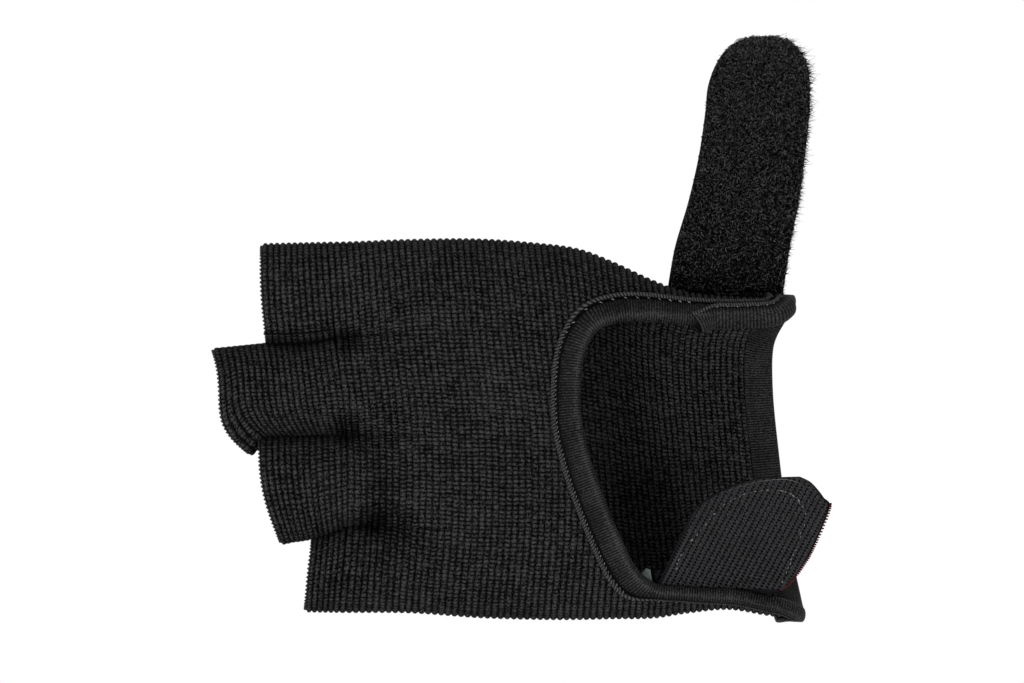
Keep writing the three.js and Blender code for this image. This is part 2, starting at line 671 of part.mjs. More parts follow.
// Middle points of a tape inside the wing, from rows of left and right ends.
function insideRows(table, insets, margin) {
  return table.map((row, i) => {
    const down = i === table.length - 1 ? margin : 0;
    return [0, 0.2, 0.4, 0.6, 0.8, 1].map((u) => {
      const inset = lerp(margin, -margin, u);
      const x = lerp(row.leftX, row.rightX, u) + inset;
      const z = lerp(row.leftZ, row.rightZ, u) - down;
      return besideSkin(x, z, -1, -insets(z)).setZ(z);
    });
  });
}

// The hooks start above the tab's sewn end.
const HOOK_ROWS = TAB.slice(1);

function tabInset(z) {
  const sewn = HOOK_ROWS[0].leftZ;
  const tip = HOOK_ROWS[HOOK_ROWS.length - 1].leftZ;
  return lerp(TAB_INSET, TAB_TIP_INSET, clamp01((z - sewn) / (tip - sewn)));
}

// How far off its base's middle a facing lies, towards the back of the hand.
function overBase(base, facing) {
  return -(base + facing) / 2 - GAP;
}

// Materials

const KNIT = { color: 0x232323, roughness: 0.95, metalness: 0 };
const BINDING = { color: 0x252526, roughness: 0.75, metalness: 0 };
const WEBBING = { color: 0x1b1b1d, roughness: 0.8, metalness: 0 };
const PILE = { color: 0x161616, roughness: 1, metalness: 0 };
const HOOKS = { color: 0x26262a, roughness: 0.6, metalness: 0 };
const LABEL = { color: 0x5c6462, roughness: 0.85, metalness: 0 };

const glove = new THREE.Group();

function add(name, solid, finish) {
  const { numProp, numVert, vertProperties, triVerts } = solid.getMesh();
  const positions = new Float32Array(numVert * 3);
  for (let i = 0; i < numVert; i += 1) {
    positions.set(vertProperties.subarray(i * numProp, i * numProp + 3), i * 3);
  }
  const geometry = new THREE.BufferGeometry();
  geometry.setAttribute("position", new THREE.BufferAttribute(positions, 3));
  geometry.setIndex(new THREE.BufferAttribute(triVerts, 1));
  const mesh = new THREE.Mesh(mergeVertices(geometry), new THREE.MeshStandardMaterial(finish));
  mesh.name = name;
  glove.add(mesh);
}

add("knit_shell", knitShell(), KNIT);
add("wrist_binding", binding(wristLine, BINDING_LEG), BINDING);
add("binding_lap", lappedEnd(wristLine), BINDING);
add("thumb_binding", binding(thumbLine, THUMB_LEG), BINDING);
const pile = slab(strapRows(PILE_FROM, PILE_INSET), LOOP_PILE, overBase(STRAP_BASE, LOOP_PILE));
const hooks = slab(insideRows(HOOK_ROWS, tabInset, HOOK_MARGIN), HOOK_FACE, overBase(TAB_BASE, HOOK_FACE));
add("strap_backing", slab(strapRows(0, 0), STRAP_BASE), WEBBING);
add("strap_loop_pile", pile, PILE);
add("tab_backing", slab(insideRows(TAB, tabInset, 0), TAB_BASE), WEBBING);
add("tab_hook_face", hooks, HOOKS);
add("inner_label", slab(insideRows(INNER_LABEL, () => LABEL_INSET, 0), LABEL_THICKNESS), LABEL);

export default glove;
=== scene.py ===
"""Fingerless fitness glove for a left hand, dressed with its ribbed knit, tapes, loops, hooks and stitches.

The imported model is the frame. Each of its pieces is replaced by a finer one on the same surface, which is
worked out from the same named sizes. Tables and formulas are in millimetres: +X runs from the fingers to the
wrist, +Z from the little finger to the index finger, and -Y out of the back of the hand.
"""

from types import SimpleNamespace

import bpy
import numpy as np
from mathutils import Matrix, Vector


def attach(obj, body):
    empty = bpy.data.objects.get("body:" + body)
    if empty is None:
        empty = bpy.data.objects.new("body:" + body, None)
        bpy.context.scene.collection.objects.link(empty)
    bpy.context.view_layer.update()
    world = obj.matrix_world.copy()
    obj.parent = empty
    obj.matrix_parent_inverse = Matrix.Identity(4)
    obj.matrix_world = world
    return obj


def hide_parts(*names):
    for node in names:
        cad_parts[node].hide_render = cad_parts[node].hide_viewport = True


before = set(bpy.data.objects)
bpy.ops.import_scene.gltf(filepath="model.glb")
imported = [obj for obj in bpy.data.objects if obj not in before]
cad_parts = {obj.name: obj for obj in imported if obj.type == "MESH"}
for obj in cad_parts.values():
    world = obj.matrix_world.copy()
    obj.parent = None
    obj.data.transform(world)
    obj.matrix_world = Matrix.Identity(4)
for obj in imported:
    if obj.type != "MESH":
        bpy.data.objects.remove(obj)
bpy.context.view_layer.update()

bl_info = {
    "name": "Fitness Glove",
    "version": (1, 0, 0),
    "blender": (4, 5, 0),
    "location": "3D View > Sidebar > Glove",
    "description": "Builds a fingerless fitness glove of ribbed knit with a hook-and-loop wrist closure",
    "category": "Add Mesh",
}

MM = 0.001
FRONT = np.array([0.0, -1.0, 0.0])  # out of the back of the hand, towards the camera
UV_SPAN = 100.0  # a UV of 1 stands for this many ribs or millimetres
SEED = 11

# The knit
WALL = 1.3
RIB_PITCH = 1.56
RIB_ZERO_X = -49.9  # where rib 0 crosses the index edge
BASE_RIB = 10  # the foot of the stalls
HEM_RIB = 82
LAST_RIB = 84
CROTCH_HALF = 1.3  # half the depth of the webs between the fingers
SLIT_HALF = 0.7
SLIT_ROUND = 5  # ribs over which a slit closes
SLIT_ENDS = (10, 10, 14)  # the rib at which each slit ends
KNUCKLE_FADE = 15  # ribs over which the stalls' lobes melt into the oval hand
LOBE_SQUARE = 2.2  # power of a stall's superellipse: 2 is an ellipse, and more is squarer
LEAN_FADES_FROM = 0.545  # share of the way to the hem from which the ribs straighten
CORNER_SHARE = 0.19  # share of a stall's length over which its corner hangs
STALL_ROOT_X = -30  # where the stalls' middle meets the hand's
ROWS_A_RIB = 5
COLUMNS = 15  # faces across one finger's width
CREST_POWER = 0.8  # under 1, so that a rib's crest is broader than the groove beside it
OUTER_LEVEL = 0.55  # height of a rib that lies level with the plain wall, outside
INNER_LEVEL = 0.7  # and inside
INNER_RELIEF = 0.6  # the ribs' relief inside, as a share of that outside
MOUTH_ROUND = 0.6  # how far from a stall's mouth its edge is rounded
SLIT_RELIEF = 0.35  # share of the ribs' relief that is left beside a slit
SLIT_RELIEF_FADE = 0.15  # share of a stall's width over which the rest comes back
CUT_MARGIN = 0.5  # how far the cut knit ends inside its binding's fold
WELD = 0.001  # points closer than this are one point
SEAM = {
    "places": (0.89, 0.98), "past_mouth": 0.4, "to_rib": 9.5, "stations": 90, "step": 0.01,
    "radius": 0.22, "lift": 0.2,
}
STRETCHED = {"x": 2, "z": 0, "radius": 46}  # where the back of the hand stretches the knit most
MOUTH_BEAD = 1.05  # spacing of the loops along a stall's mouth
MOUTH_INSET = 0.15  # how far inside the mouth its thread lies, in ribs
MOUTH_PLACES = 200  # places from which a mouth's outline is taken, on each side
MOUTH_STATIONS = 4  # stations of the thread for each loop
MOUTH_THREAD = 0.3
MOUTH_STEP = 0.5
MOUTH_TINTS = ((1, 1, 1), (1.6, 1.25, 1), (1, 1, 1), (1, 1, 1))  # the middle stall's edge is a little brown

# The tapes along the edges
GAP = 0.3
FOLD_GAP = 0.38
BINDING_TAPE = 0.6
BINDING_LEG = 6.0
THUMB_LEG = 3.4
LAP = {
    "from_x": 52.8, "slide": 6.7, "drop": 1.8, "lean": 2.4,
    "start_reach": 0.4, "reach": 2.9, "tape": 0.5, "rib": 0.82,
}
UNDER_LAP_LEG = 5.6  # reach of the binding under the lap
# Section of a folded tape: shares of its reach, how far its face stands out at each, and angles round the fold
TAPE_SHARES = np.array([1, 0.95, 0.87, 0.8, 0.73, 0.5, 0.25, 0.0])
TAPE_CROWN = np.array([-0.8, -0.7, -0.8, -0.7, -0.1, 0.1, 0.1, 0.0])  # in thicknesses of the tape
FOLD_ANGLES = np.array([67.5, 45, 22.5, 0, -22.5, -45, -67.5])
FOLD_BULGE = 0.7  # how far the fold reaches past its gap, in thicknesses
GROOVE = 0.17  # share of a tape's reach where its stitched groove lies
CORD_OUT = 0.2  # how far the middle of a rolled edge stays inside the tape's end
CORD_SIDES = 12
ROLL = {"pitch": 0.66, "slant": 0.5}  # wraps of a rolled edge
THUMB_ROLL = {"radius": 0.8, "sink": 0.1}  # beside the wrist's
# The run of the wrist's edge over the opening, and that along the wing below the tab
TOP_RUN = {"from_z": 20, "fade_z": 5, "from_angle": 2, "to_angle": 120, "fade_angle": 8}
WING = {"from_x": 39, "from_z": -34, "to_angle": 178, "fade": 7, "leg": 2.3, "cord": 0.3}
CLOSE_STITCH = SimpleNamespace(pitch=1.2, length=0.6, slant=0.5, lift=0.2, radius=0.085)
WIDE_STITCH = SimpleNamespace(pitch=2.4, length=0.6, slant=0.4, lift=0.22, radius=0.11)
STITCH_SLANTS = (0.8, 1.2)  # how much the slant differs from one stitch to the next
STITCH_SHARES = np.linspace(-0.5, 0.5, 5)[:, None]  # places along a stitch
STITCH_BOW = 1 - 4 * STITCH_SHARES**2  # a parabola over them
LINE_STEP = 0.5  # spacing of the places along a binding
FINE_PLACES = 6000  # places from which these are taken
SKIN_STEP = 0.05  # step by which slopes of the skin are measured
HALVINGS = 24  # of the angle, when a place on the skin is looked for
BEND_WINDOW = 2.6  # half the length over which a line's bend is measured
BEND_SHARE = 0.8  # share of a bend's radius that a fold may reach
MOST_ROOM = 18.0
DRUM = 25.0  # radius on which a place on the skin is drawn for its line
PAST_HEM = 88.0  # an x beyond the whole knit
HEM_ANGLES = (206, 224, 245, 270, 295, 316, 334, 348)
CORNER_ANGLES = (12, 13)  # from the cut-out's two ends to the hem's first and last place
THUMB = {"x": 4, "angle": -46, "along_half": 15, "round_half": 21, "tilt": 0.3, "places": 30}
HEM_FOLD = (60, 65)  # between these x the strap climbs onto the binding

# The strap
STRAP_BASE = 0.9
STRAP_GRID = (140, 31)
TIP_CROWDING = 0.8  # under 1, so that the grid's rows are closer together near the tip
PILE_FROM_Z = 33.2
PILE_GRID = (170, 81)
PILE = {"margin": 0.35, "round": 1.2, "lift": 0.2, "least": 0.1, "thick": 0.75, "rough": 0.25, "root": 0.35}
STRAND = {
    "span": (0.3, 0.9), "rise": (0.2, 1), "curl": (-0.3, 0.3), "radius": (0.07, 0.12),
    "foot": 0.35, "scatter": 0.2, "stations": 4,
}
HAIR = {
    "length": (0.5, 1.4), "share": (0.4, 1), "grow": 0.7, "bend": 0.6, "radius": 0.09, "taper": 1.2,
    "lift": 0.4, "scatter": 0.3, "stations": 5, "from_column": 4,
}

# The tab, the label and the stub of tape beside it
TAB_BASE = 0.8
HOOK_FACE = 1.1
TAB_GRID = (90, 41)
TAB_INSET = 2.5
TAB_TIP_INSET = 0.6
LABEL_GRID = (24, 24)
STUB_GRID = (16, 6)
LABEL_INSET = 3.9
LABEL_THICKNESS = 0.6
HOOK_GROUND = {"from_row": 0.7, "tip": 0.12, "margin": 0.5, "lift": 0.05, "thick": 0.75, "round": 0.5}
HOOK_GRID = (90, 81)
HOOK_LEAN = 62  # degrees from +X of the cords of hooks
HOOK_CORD = 1.28  # spacing of the cords
HOOK_STEP = 0.75  # spacing of the hooks along one
HOOK_FIELD = ((-40, 75), (20, 110))  # along the cords and across them, past the tab on all sides
HOOK = {
    "margin": 0.9, "foot": 0.75, "scatter": 0.1, "height": (0.8, 1.1), "bend": 0.24, "turn": 0.8,
    "radius": 0.2, "step": 0.02, "stations": 5,
}
TAB_STITCH = {
    "count": 52, "height": (-0.8, 0.18), "scatter": 0.2, "length": (0.5, 0.9), "lift": 0.3, "radius": 0.12,
}
# A light thread near the tab's tip, as a painted highlight for the lit edge of the hook face
TIP_EDGE_HIGHLIGHT = {"u": (0.06, 0.97), "stations": 60, "row": 7.5, "drop": 2.4, "sink": 0.1, "radius": 0.08}
WHIPPING = {
    "rows": (0.5, 4.2), "count": 44, "past": 1.02, "turn": (-0.6, 0.5), "stations": 7,
    "out": (0.36, 0.46), "inside": 0.1, "over": 0.2, "radius": 0.21,
}
EDGE_LEFT = 0.03  # keeps a rounded edge from closing to a line
SOFT_EDGE_LEFT = 0.05  # the same for the mouths and the pile
STRAND_SIDES = 3
HOOK_SIDES = 4
STITCH_SIDES = 5
THREAD_SIDES = 6
TWO_TRIANGLES = [0, 1, 2, 0, 2, 3]  # corners of a four-cornered cell

# The camera looks along +Y from far off, so that the picture is MM_A_PIXEL wide a pixel at the glove.
IMAGE = (1024, 683)
MM_A_PIXEL = 0.24
ORIGIN_PIXEL = (470, 430)
CAMERA_DISTANCE = 2200
CAMERA_REACH = 20.0  # metres
SENSOR = 36.0
FLOOR_Z = -600.0
FLOOR_HALF = 6000.0
FLOOR_CORNERS = ((-1, -1), (1, -1), (1, 1), (-1, 1))
LIT_PLACE = (10.0, 0.0, 15.0)  # where the lights point
LIGHTS = (
    ("key", (-600.0, -1300.0, -150.0), 11.0, 0.5),
    ("fill", (700.0, -1300.0, -300.0), 10.0, 0.5),
)
WORLD_STRENGTH = 1.0


def table(columns, *rows):
    """A short table as one array for each named column."""
    return dict(zip(columns.split(), np.array(rows, float).T))


# The stalls of the index, middle, ring and little finger
STALLS = table(
    "mouth_rib top_x top bottom_x bottom corner bow bow_power mouth_half_depth mouth_y half_depth foot",
    (-1, -49.9, 44.7, -48.6, 20.6, 0, 0.45, 1, 10.6, 3.2, 10.4, 0.25),
    (-10, -61.6, 19.7, -53, -1.9, 4.4, 3.5, 2, 10.6, 3.6, 11, 0.522),
    (-4, -50.4, -1.6, -45.3, -27.2, 0.4, 1.5, 1, 9.8, 3.4, 10.3, 0.772),
    (4, -37.7, -24.9, -39.4, -43.7, 0, 0.1, 1, 8.2, 3, 8.8, 1),
)
FINGERS = range(len(STALLS["foot"]))
# How far each slit's line hangs below a straight one, half-way between two places
SLIT_SAGS = table("from_x to_x by", (-49, -30, 0.9), (-50.4, -30, 0), (-45.3, -29.4, 1))
# Where the knit is pressed in, in round hollows: at the slits' ends, beside the last one and in the middle
# stall's corner. The knit's colour is also darkened round each one, as painted shade.
DIMPLES = table(
    "x z radius depth",
    (-29, 21.6, 2.2, 1.4), (-29.3, 1, 2.4, 2), (-23.5, -21.6, 2.4, 2.4),
    (-23, -5, 3, 0.8), (-20.5, -13, 3, 1.1), (-18.5, -22, 3, 1.2), (-52.7, -3.4, 1.4, 0.8),
)

# The outline seen from the back of the hand, and how deep the oval section is
OUTLINE = table(
    "x top bottom back palm edge_top edge_bottom square",
    (-40, 45, -43.7, 12.6, 14.5, 1.5, 2.2, 2.4),
    (-30, 45.1, -43.8, 13.2, 15.5, 1.4, 2, 2.5),
    (-14, 45.7, -43.9, 14.2, 17.5, 1, 1.6, 2.6),
    (2, 45.8, -45, 15, 20, 0.6, 1, 2.7),
    (16, 44.8, -45.4, 15.8, 22, 0.2, 0, 2.8),
    (26, 43.4, -45.4, 16.6, 22.4, 0, -1, 2.9),
    (34, 40.4, -45.2, 17.4, 22, 0, -1.8, 3),
    (44, 35.8, -45, 18, 21, -0.3, -2.6, 3),
    (52, 33, -43.8, 18.4, 20, -0.6, -3.4, 3),
    (62, 32, -42.9, 18.8, 19.4, -0.8, -4, 3),
    (72, 31.6, -44.4, 19, 19.2, -0.8, -4, 3),
    (82, 31.4, -45.2, 19, 19.4, -0.8, -4, 3),
)
LEAN = table(
    "across back palm",
    (0, 0, 0),
    (0.25, 2.2, 0.8),
    (0.5, 4.8, 1.6),
    (0.75, 4.9, 2.2),
    (1, 2.9, 2.9),
)
HEM = table(
    "across back palm",
    (0, 77.4, 77.4),
    (0.15, 78.5, 72.5),
    (0.5, 79, 74),
    (0.85, 79.4, 77.5),
    (1, 79.6, 79.6),
)
OPENING_EDGE = table(
    "x z",
    (76.6, 29.4), (73.6, 27.2), (65, 26.3), (54, 26.2), (44, 26.8), (35, 26.4), (29.6, 24), (26.6, 18),
    (25.7, 9), (26.2, 1), (28.4, -8), (31.6, -17), (35.4, -26), (39, -33), (43.6, -37.2), (51, -38.2),
    (60, -38.8), (69, -40.2), (75, -41.6), (79, -43.4),
)
STRAP = table(
    "z left right y free",
    (15, 45.4, 71.6, 18, 0),
    (19, 45.8, 72.4, 17, 0),
    (22.5, 46.2, 73, 15.4, 0),
    (26, 46.6, 73.8, 13.4, 0.1),
    (29.4, 47.1, 74.8, 11, 0.9),
    (33.2, 47.5, 75.4, 9.4, 1),
    (38, 48.2, 76.1, 7.8, 1),
    (44.4, 49.4, 77, 6.2, 1),
    (55, 52.5, 79.1, 4.4, 1),
    (66, 55, 80.5, 4.2, 1),
    (76.8, 56.6, 81.7, 5.4, 1),
    (82.5, 57.2, 81.7, 6.4, 1),
    (87.6, 59, 81.2, 7.4, 1),
    (91.2, 61.4, 79.2, 8.2, 1),
    (93.6, 64.6, 76.6, 8.8, 1),
    (94.7, 68.6, 73.6, 9, 1),
)
TAB = table(
    "row left_x left_z right_x right_z",
    (0, 43.2, -38.9, 72.4, -39.1),
    (1, 45.4, -35.4, 76, -36.6),
    (2, 47.9, -30, 79.8, -31.6),
    (3, 50.6, -24.3, 82.7, -26),
    (4, 53.3, -18.9, 85.7, -18.2),
    (5, 55.8, -16.6, 84.3, -15.9),
    (6, 59.6, -14.4, 82.8, -13.9),
    (7, 64.4, -12.4, 81.0, -12.1),
    (8, 70.2, -11.1, 78.6, -10.9),
)
# The seam round the tab, from its lower left corner over the tip to the lower right one
TAB_SEAM = table(
    "place x z",
    (0, 48.5, -35), (1, 50.6, -29.5), (2, 55.2, -23.3), (3, 61, -17.3), (4, 67.2, -14.6), (5, 73.9, -14.2),
    (6, 78, -16.3), (7, 79.9, -20.4), (8, 78.7, -25.2), (9, 76.8, -30.5), (10, 74.6, -36),
)
LABEL = table(
    "row left_x left_z right_x right_z",
    (0, 33.5, -39.6, 43.6, -39.4),
    (1, 38.8, -36.2, 43.5, -36.8),
    (2, 41.9, -32.9, 42.9, -33.3),
)
STUB = table(
    "row left_x left_z right_x right_z",
    (0, 44, -38.6, 45, -38.6),
    (1, 44.1, -35.4, 44.9, -35.2),
    (2, 44.5, -33.6, 45.5, -33.2),
)


def lerp(a, b, share):
    """The number a share of the way from a to b."""
    return a + (b - a) * share


def smooth(share):
    """A share with a soft start and a soft end."""
    return share * share * (3 - 2 * share)


def soft_step(share):
    """A softened share, held at 0 before its start and at 1 after its end."""
    return smooth(np.clip(share, 0, 1))


def half_turn(turn):
    """0 at no turn and 1 at half a turn, as far as a point that turns has come across. turn is in radians."""
    return (1 - np.cos(turn)) / 2


def unit(vectors):
    """Vectors along the last axis, scaled to length 1."""
    return vectors / np.maximum(np.linalg.norm(vectors, axis=-1, keepdims=True), 1e-12)


def curve(rows, key, column, at):
    """A smooth curve through one column of a table: cubic pieces whose slope at a row is that between its
    neighbours."""
    xs, ys = rows[key], rows[column]
    order = np.arange(len(xs))
    before, after = np.maximum(order - 1, 0), np.minimum(order + 1, len(xs) - 1)
    slopes = (ys[after] - ys[before]) / (xs[after] - xs[before])
    x = np.clip(at, xs[0], xs[-1])
    i = np.clip(np.searchsorted(xs, x, side="right") - 1, 0, len(xs) - 2)
    span = xs[i + 1] - xs[i]
    u = (x - xs[i]) / span
    v = 1 - u
    start = v * v * (ys[i] * (1 + 2 * u) + slopes[i] * span * u)
    return start + u * u * (ys[i + 1] * (1 + 2 * v) - slopes[i + 1] * span * v)


def oval_point(x, across, side):
    """The knit's middle surface on the oval hand: an outline in x and z with a superellipse of depth over it.
    across runs from 0 at the index edge to 1 at the other, and side is -1 on the back and +1 on the palm."""
    x, across, side = np.broadcast_arrays(np.asarray(x, float), across, side)
    outline = {name: curve(OUTLINE, "x", name, x) for name in OUTLINE if name != "x"}
    c = 1 - 2 * across
    edge = np.where(c > 0, outline["edge_top"], outline["edge_bottom"])
    depth = np.where(side < 0, -outline["back"], outline["palm"])
    share = np.sqrt(np.maximum(0, 1 - np.abs(c) ** outline["square"]))
    z = lerp(outline["top"] - WALL / 2, outline["bottom"] + WALL / 2, across)
    return np.stack([x, lerp(edge, depth, share), z], axis=-1)


def ring_point(x, angle):
    """The same surface by the angle round the section in degrees: 0 at the index edge, 90 on the back."""
    turn = np.radians(angle)
    return oval_point(x, half_turn(turn), np.where(np.sin(turn) > 0, -1, 1))


def slit_half(slit, rib):
    """Half the gap between two stalls at a rib, closing in a round end at the web. There is none at the
    hand's two edges."""
    if slit not in range(len(SLIT_ENDS)):
        return np.zeros_like(rib)
    return SLIT_HALF * np.clip((SLIT_ENDS[slit] - rib) / SLIT_ROUND, 0, 1) ** 0.25


def slit_sag(slit, x):
    """How far a slit's line hangs at x: a parabola."""
    if slit not in range(len(SLIT_ENDS)):
        return np.zeros_like(x)
    sag = {name: column[slit] for name, column in SLIT_SAGS.items()}
    share = np.clip((x - sag["from_x"]) / (sag["to_x"] - sag["from_x"]), 0, 1)
    return sag["by"] * 4 * share * (1 - share)


def lobe_depth(half_depth, within, finger):
    """Depth of a stall's lobe at a place across it: a superellipse that stands on the web's own depth, and on
    nothing at the hand's outer edges."""
    at_edge = within if finger == 0 else 1 - within if finger == FINGERS[-1] else np.ones_like(within)
    foot = CROTCH_HALF * np.sqrt(at_edge)
    return foot + (half_depth - foot) * np.sqrt(np.maximum(0, 1 - np.abs(2 * within - 1) ** LOBE_SQUARE))


def across_finger(finger, within):
    """A place across one finger as a place across the hand."""
    start = STALLS["foot"][finger - 1] if finger else 0
    return lerp(start, STALLS["foot"][finger], within)


def stall_centre(across):
    """The Y of the stalls' middle, from the outline at their root."""
    top = curve(OUTLINE, "x", "edge_top", STALL_ROOT_X)
    bottom = curve(OUTLINE, "x", "edge_bottom", STALL_ROOT_X)
    return lerp(top, bottom, across)


def palm_point(finger, rib, within, side):
    """The knit's middle surface past the stalls. A rib's x leans across the hand and straightens towards the
    hem, and the depth melts from the stall's lobe into the oval section."""
    rib, within = np.broadcast_arrays(np.asarray(rib, float), within)
    across = across_finger(finger, within)
    column = "back" if side < 0 else "palm"
    along = (rib - BASE_RIB) / (HEM_RIB - BASE_RIB)
    straight = soft_step((along - LEAN_FADES_FROM) / (1 - LEAN_FADES_FROM))
    x = lerp(RIB_ZERO_X + BASE_RIB * RIB_PITCH, curve(HEM, "across", column, across), along)
    x = x + curve(LEAN, "across", column, across) * (1 - straight)
    point = oval_point(x, across, side)
    slit_end = lerp(SLIT_ENDS[max(0, finger - 1)], SLIT_ENDS[min(2, finger)], within)
    fade = np.clip((rib - slit_end) / KNUCKLE_FADE, 0, 1)
    lobe = lobe_depth(STALLS["half_depth"][finger] - WALL / 2, within, finger)
    point[..., 1] = lerp(stall_centre(across) + side * lobe, point[..., 1], fade * (2 - fade))
    point[..., 2] += slit_half(finger, rib) * within - slit_half(finger - 1, rib) * (1 - within)
    return point


def stall_point(finger, rib, within, side):
    """The knit's middle surface in a stall: straight lines from the mouth to the foot, with the mouth's own
    outline, a bow of it and a corner that hangs."""
    rib, within = np.broadcast_arrays(np.asarray(rib, float), within)
    stall = {name: column[finger] for name, column in STALLS.items()}
    foot = palm_point(finger, np.full_like(rib, BASE_RIB), within, side)
    above = slit_half(finger - 1, rib) if finger else WALL / 2
    below = slit_half(finger, rib) if finger < FINGERS[-1] else WALL / 2
    share = (rib - stall["mouth_rib"]) / (BASE_RIB - stall["mouth_rib"])
    corner = stall["corner"] * within * soft_step(1 - share / CORNER_SHARE)
    bow = stall["bow"] * np.sin(np.pi * within ** stall["bow_power"]) * (1 - share)
    mouth_x = lerp(stall["top_x"], stall["bottom_x"], within)
    mouth_z = lerp(stall["top"] - above, stall["bottom"] + below, within)
    depth = lerp(stall["mouth_half_depth"], stall["half_depth"], share) - WALL / 2
    middle = lerp(stall["mouth_y"], stall_centre(across_finger(finger, within)), smooth(share))
    root = np.full_like(rib, BASE_RIB)
    wider_above, wider_below = (slit_half(slit, rib) - slit_half(slit, root) for slit in (finger - 1, finger))
    squeeze = wider_below * within - wider_above * (1 - within)
    x = lerp(mouth_x, foot[..., 0], share) - bow
    y = middle + side * lobe_depth(depth, within, finger)
    sag = slit_sag(finger, x) * within + slit_sag(finger - 1, x) * (1 - within)
    z = lerp(mouth_z, foot[..., 2] + squeeze, share) - corner - sag
    return np.stack([x, y, z], axis=-1)


def skin_frame(x, angle):
    """Position, both slopes and the outward normal of the oval skin, by small steps both ways."""
    step = SKIN_STEP
    along = (ring_point(x + step, angle) - ring_point(x - step, angle)) / (2 * step)
    around = (ring_point(x, angle + step) - ring_point(x, angle - step)) / (2 * step)
    return ring_point(x, angle), along, around, unit(np.cross(around, along))


def off_skin(x, angle, height):
    """Points at a height over places on the skin."""
    point, _, _, normal = skin_frame(x, angle)
    return point + normal * np.asarray(height)[..., None]


def beside_skin(x, z, side, height):
    """The points at a height over the skin that have this x and this z, found by halving the angle."""
    x, z, height = np.broadcast_arrays(x, z, height)
    high, low = np.zeros(x.shape), np.full(x.shape, 180.0)
    for _ in range(HALVINGS):
        middle = (high + low) / 2
        above = off_skin(x, -side * middle, height)[..., 2] > z
        high, low = np.where(above, middle, high), np.where(above, low, middle)
    return off_skin(x, -side * high, height)


def closed_curve(places, count):
    """A closed centripetal curve through places, as points at even steps of its parameter."""
    at = np.arange(count) * len(places) / count
    i = np.floor(at).astype(int)
    p0, p1, p2, p3 = (places[(i + k) % len(places)] for k in (-1, 0, 1, 2))
    pairs = (p0, p1), (p1, p2), (p2, p3)
    d0, d1, d2 = (np.sqrt(np.linalg.norm(b - a, axis=1, keepdims=True)) for a, b in pairs)
    start = d1 * ((p1 - p0) / d0 - (p2 - p0) / (d0 + d1) + (p2 - p1) / d1)
    end = d1 * ((p2 - p1) / d1 - (p3 - p1) / (d1 + d2) + (p3 - p2) / d2)
    t = (at - i)[:, None]
    cubic = 2 * p1 - 2 * p2 + start + end
    square = 3 * p2 - 3 * p1 - 2 * start - end
    return p1 + t * (start + t * (square + t * cubic))


def way_round(points):
    """How far each point of a closed line is along it, and the whole way round."""
    steps = np.linalg.norm(np.roll(points, -1, axis=0) - points, axis=1)
    return np.concatenate([[0], np.cumsum(steps)])


def places_at(points, way, at):
    """Places of a closed line at distances, where way has the distance of each of its points."""
    looped = np.concatenate([points, points[:1]])
    return np.stack([np.interp(at, way, looped[:, k]) for k in range(3)], axis=-1)


def angle_of(drum):
    """The angle in degrees of a point on the drum."""
    return np.degrees(np.arctan2(drum[:, 2], drum[:, 1]))


def line_on_skin(x, angle, inward):
    """A closed line through places on the skin, evenly spaced. Each place has the way into the fabric, as a
    vector and as steps of x and of angle, and the room that a fold has there before it meets itself."""
    drum = np.stack([x, DRUM * np.cos(np.radians(angle)), DRUM * np.sin(np.radians(angle))], axis=-1)
    fine = closed_curve(drum, FINE_PLACES)
    way = way_round(ring_point(fine[:, 0], angle_of(fine)))
    count = int(round(way[-1] / LINE_STEP))
    step = way[-1] / count
    place = places_at(fine, way, step * np.arange(count))
    x, angle = place[:, 0], angle_of(place)
    point, along, around, normal = skin_frame(x, angle)
    tangent = unit(np.roll(point, -1, axis=0) - np.roll(point, 1, axis=0))
    into = inward * unit(np.cross(normal, tangent))
    xx, xa, aa = (np.sum(a * b, axis=-1) for a, b in ((along, along), (along, around), (around, around)))
    ix, ia = (np.sum(a * into, axis=-1) for a in (along, around))
    det = xx * aa - xa * xa
    reach = max(1, int(round(BEND_WINDOW / step)))
    turn = np.roll(tangent, -reach, axis=0) - np.roll(tangent, reach, axis=0)
    bend = np.maximum(1e-6, np.sum(turn * into, axis=-1) / (2 * reach * step))
    window = range(-2 * reach, 2 * reach + 1)
    room = BEND_SHARE / np.max([np.roll(bend, k) for k in window], axis=0)
    room = np.mean([np.roll(np.minimum(room, MOST_ROOM), k) for k in window], axis=0)
    return SimpleNamespace(
        x=x, angle=angle, point=point, normal=normal, tangent=tangent, into=into, room=room, step=step,
        step_x=(ix * aa - ia * xa) / det, step_angle=(ia * xx - ix * xa) / det,
    )


def stretch_of(line, keep):
    """The places of a line that a mask keeps."""
    arrays = {name: value[keep] for name, value in vars(line).items() if isinstance(value, np.ndarray)}
    return SimpleNamespace(**{**vars(line), **arrays})


def beside_line(line, depth, height, reach):
    """Points beside a line: a depth into the fabric along the skin and a height over it. Below depth 0 they
    leave the skin straight on. reach is the fold's whole depth, which shrinks where a bend leaves less room."""
    leg = np.minimum(1, line.room / reach)[:, None]
    depth, height, leg = np.broadcast_arrays(depth, height, leg)
    inside = np.maximum(depth, 0) * leg
    x = line.x[:, None] + line.step_x[:, None] * inside
    angle = line.angle[:, None] + line.step_angle[:, None] * inside
    return off_skin(x, angle, height) + np.minimum(depth, 0)[..., None] * line.into[:, None]


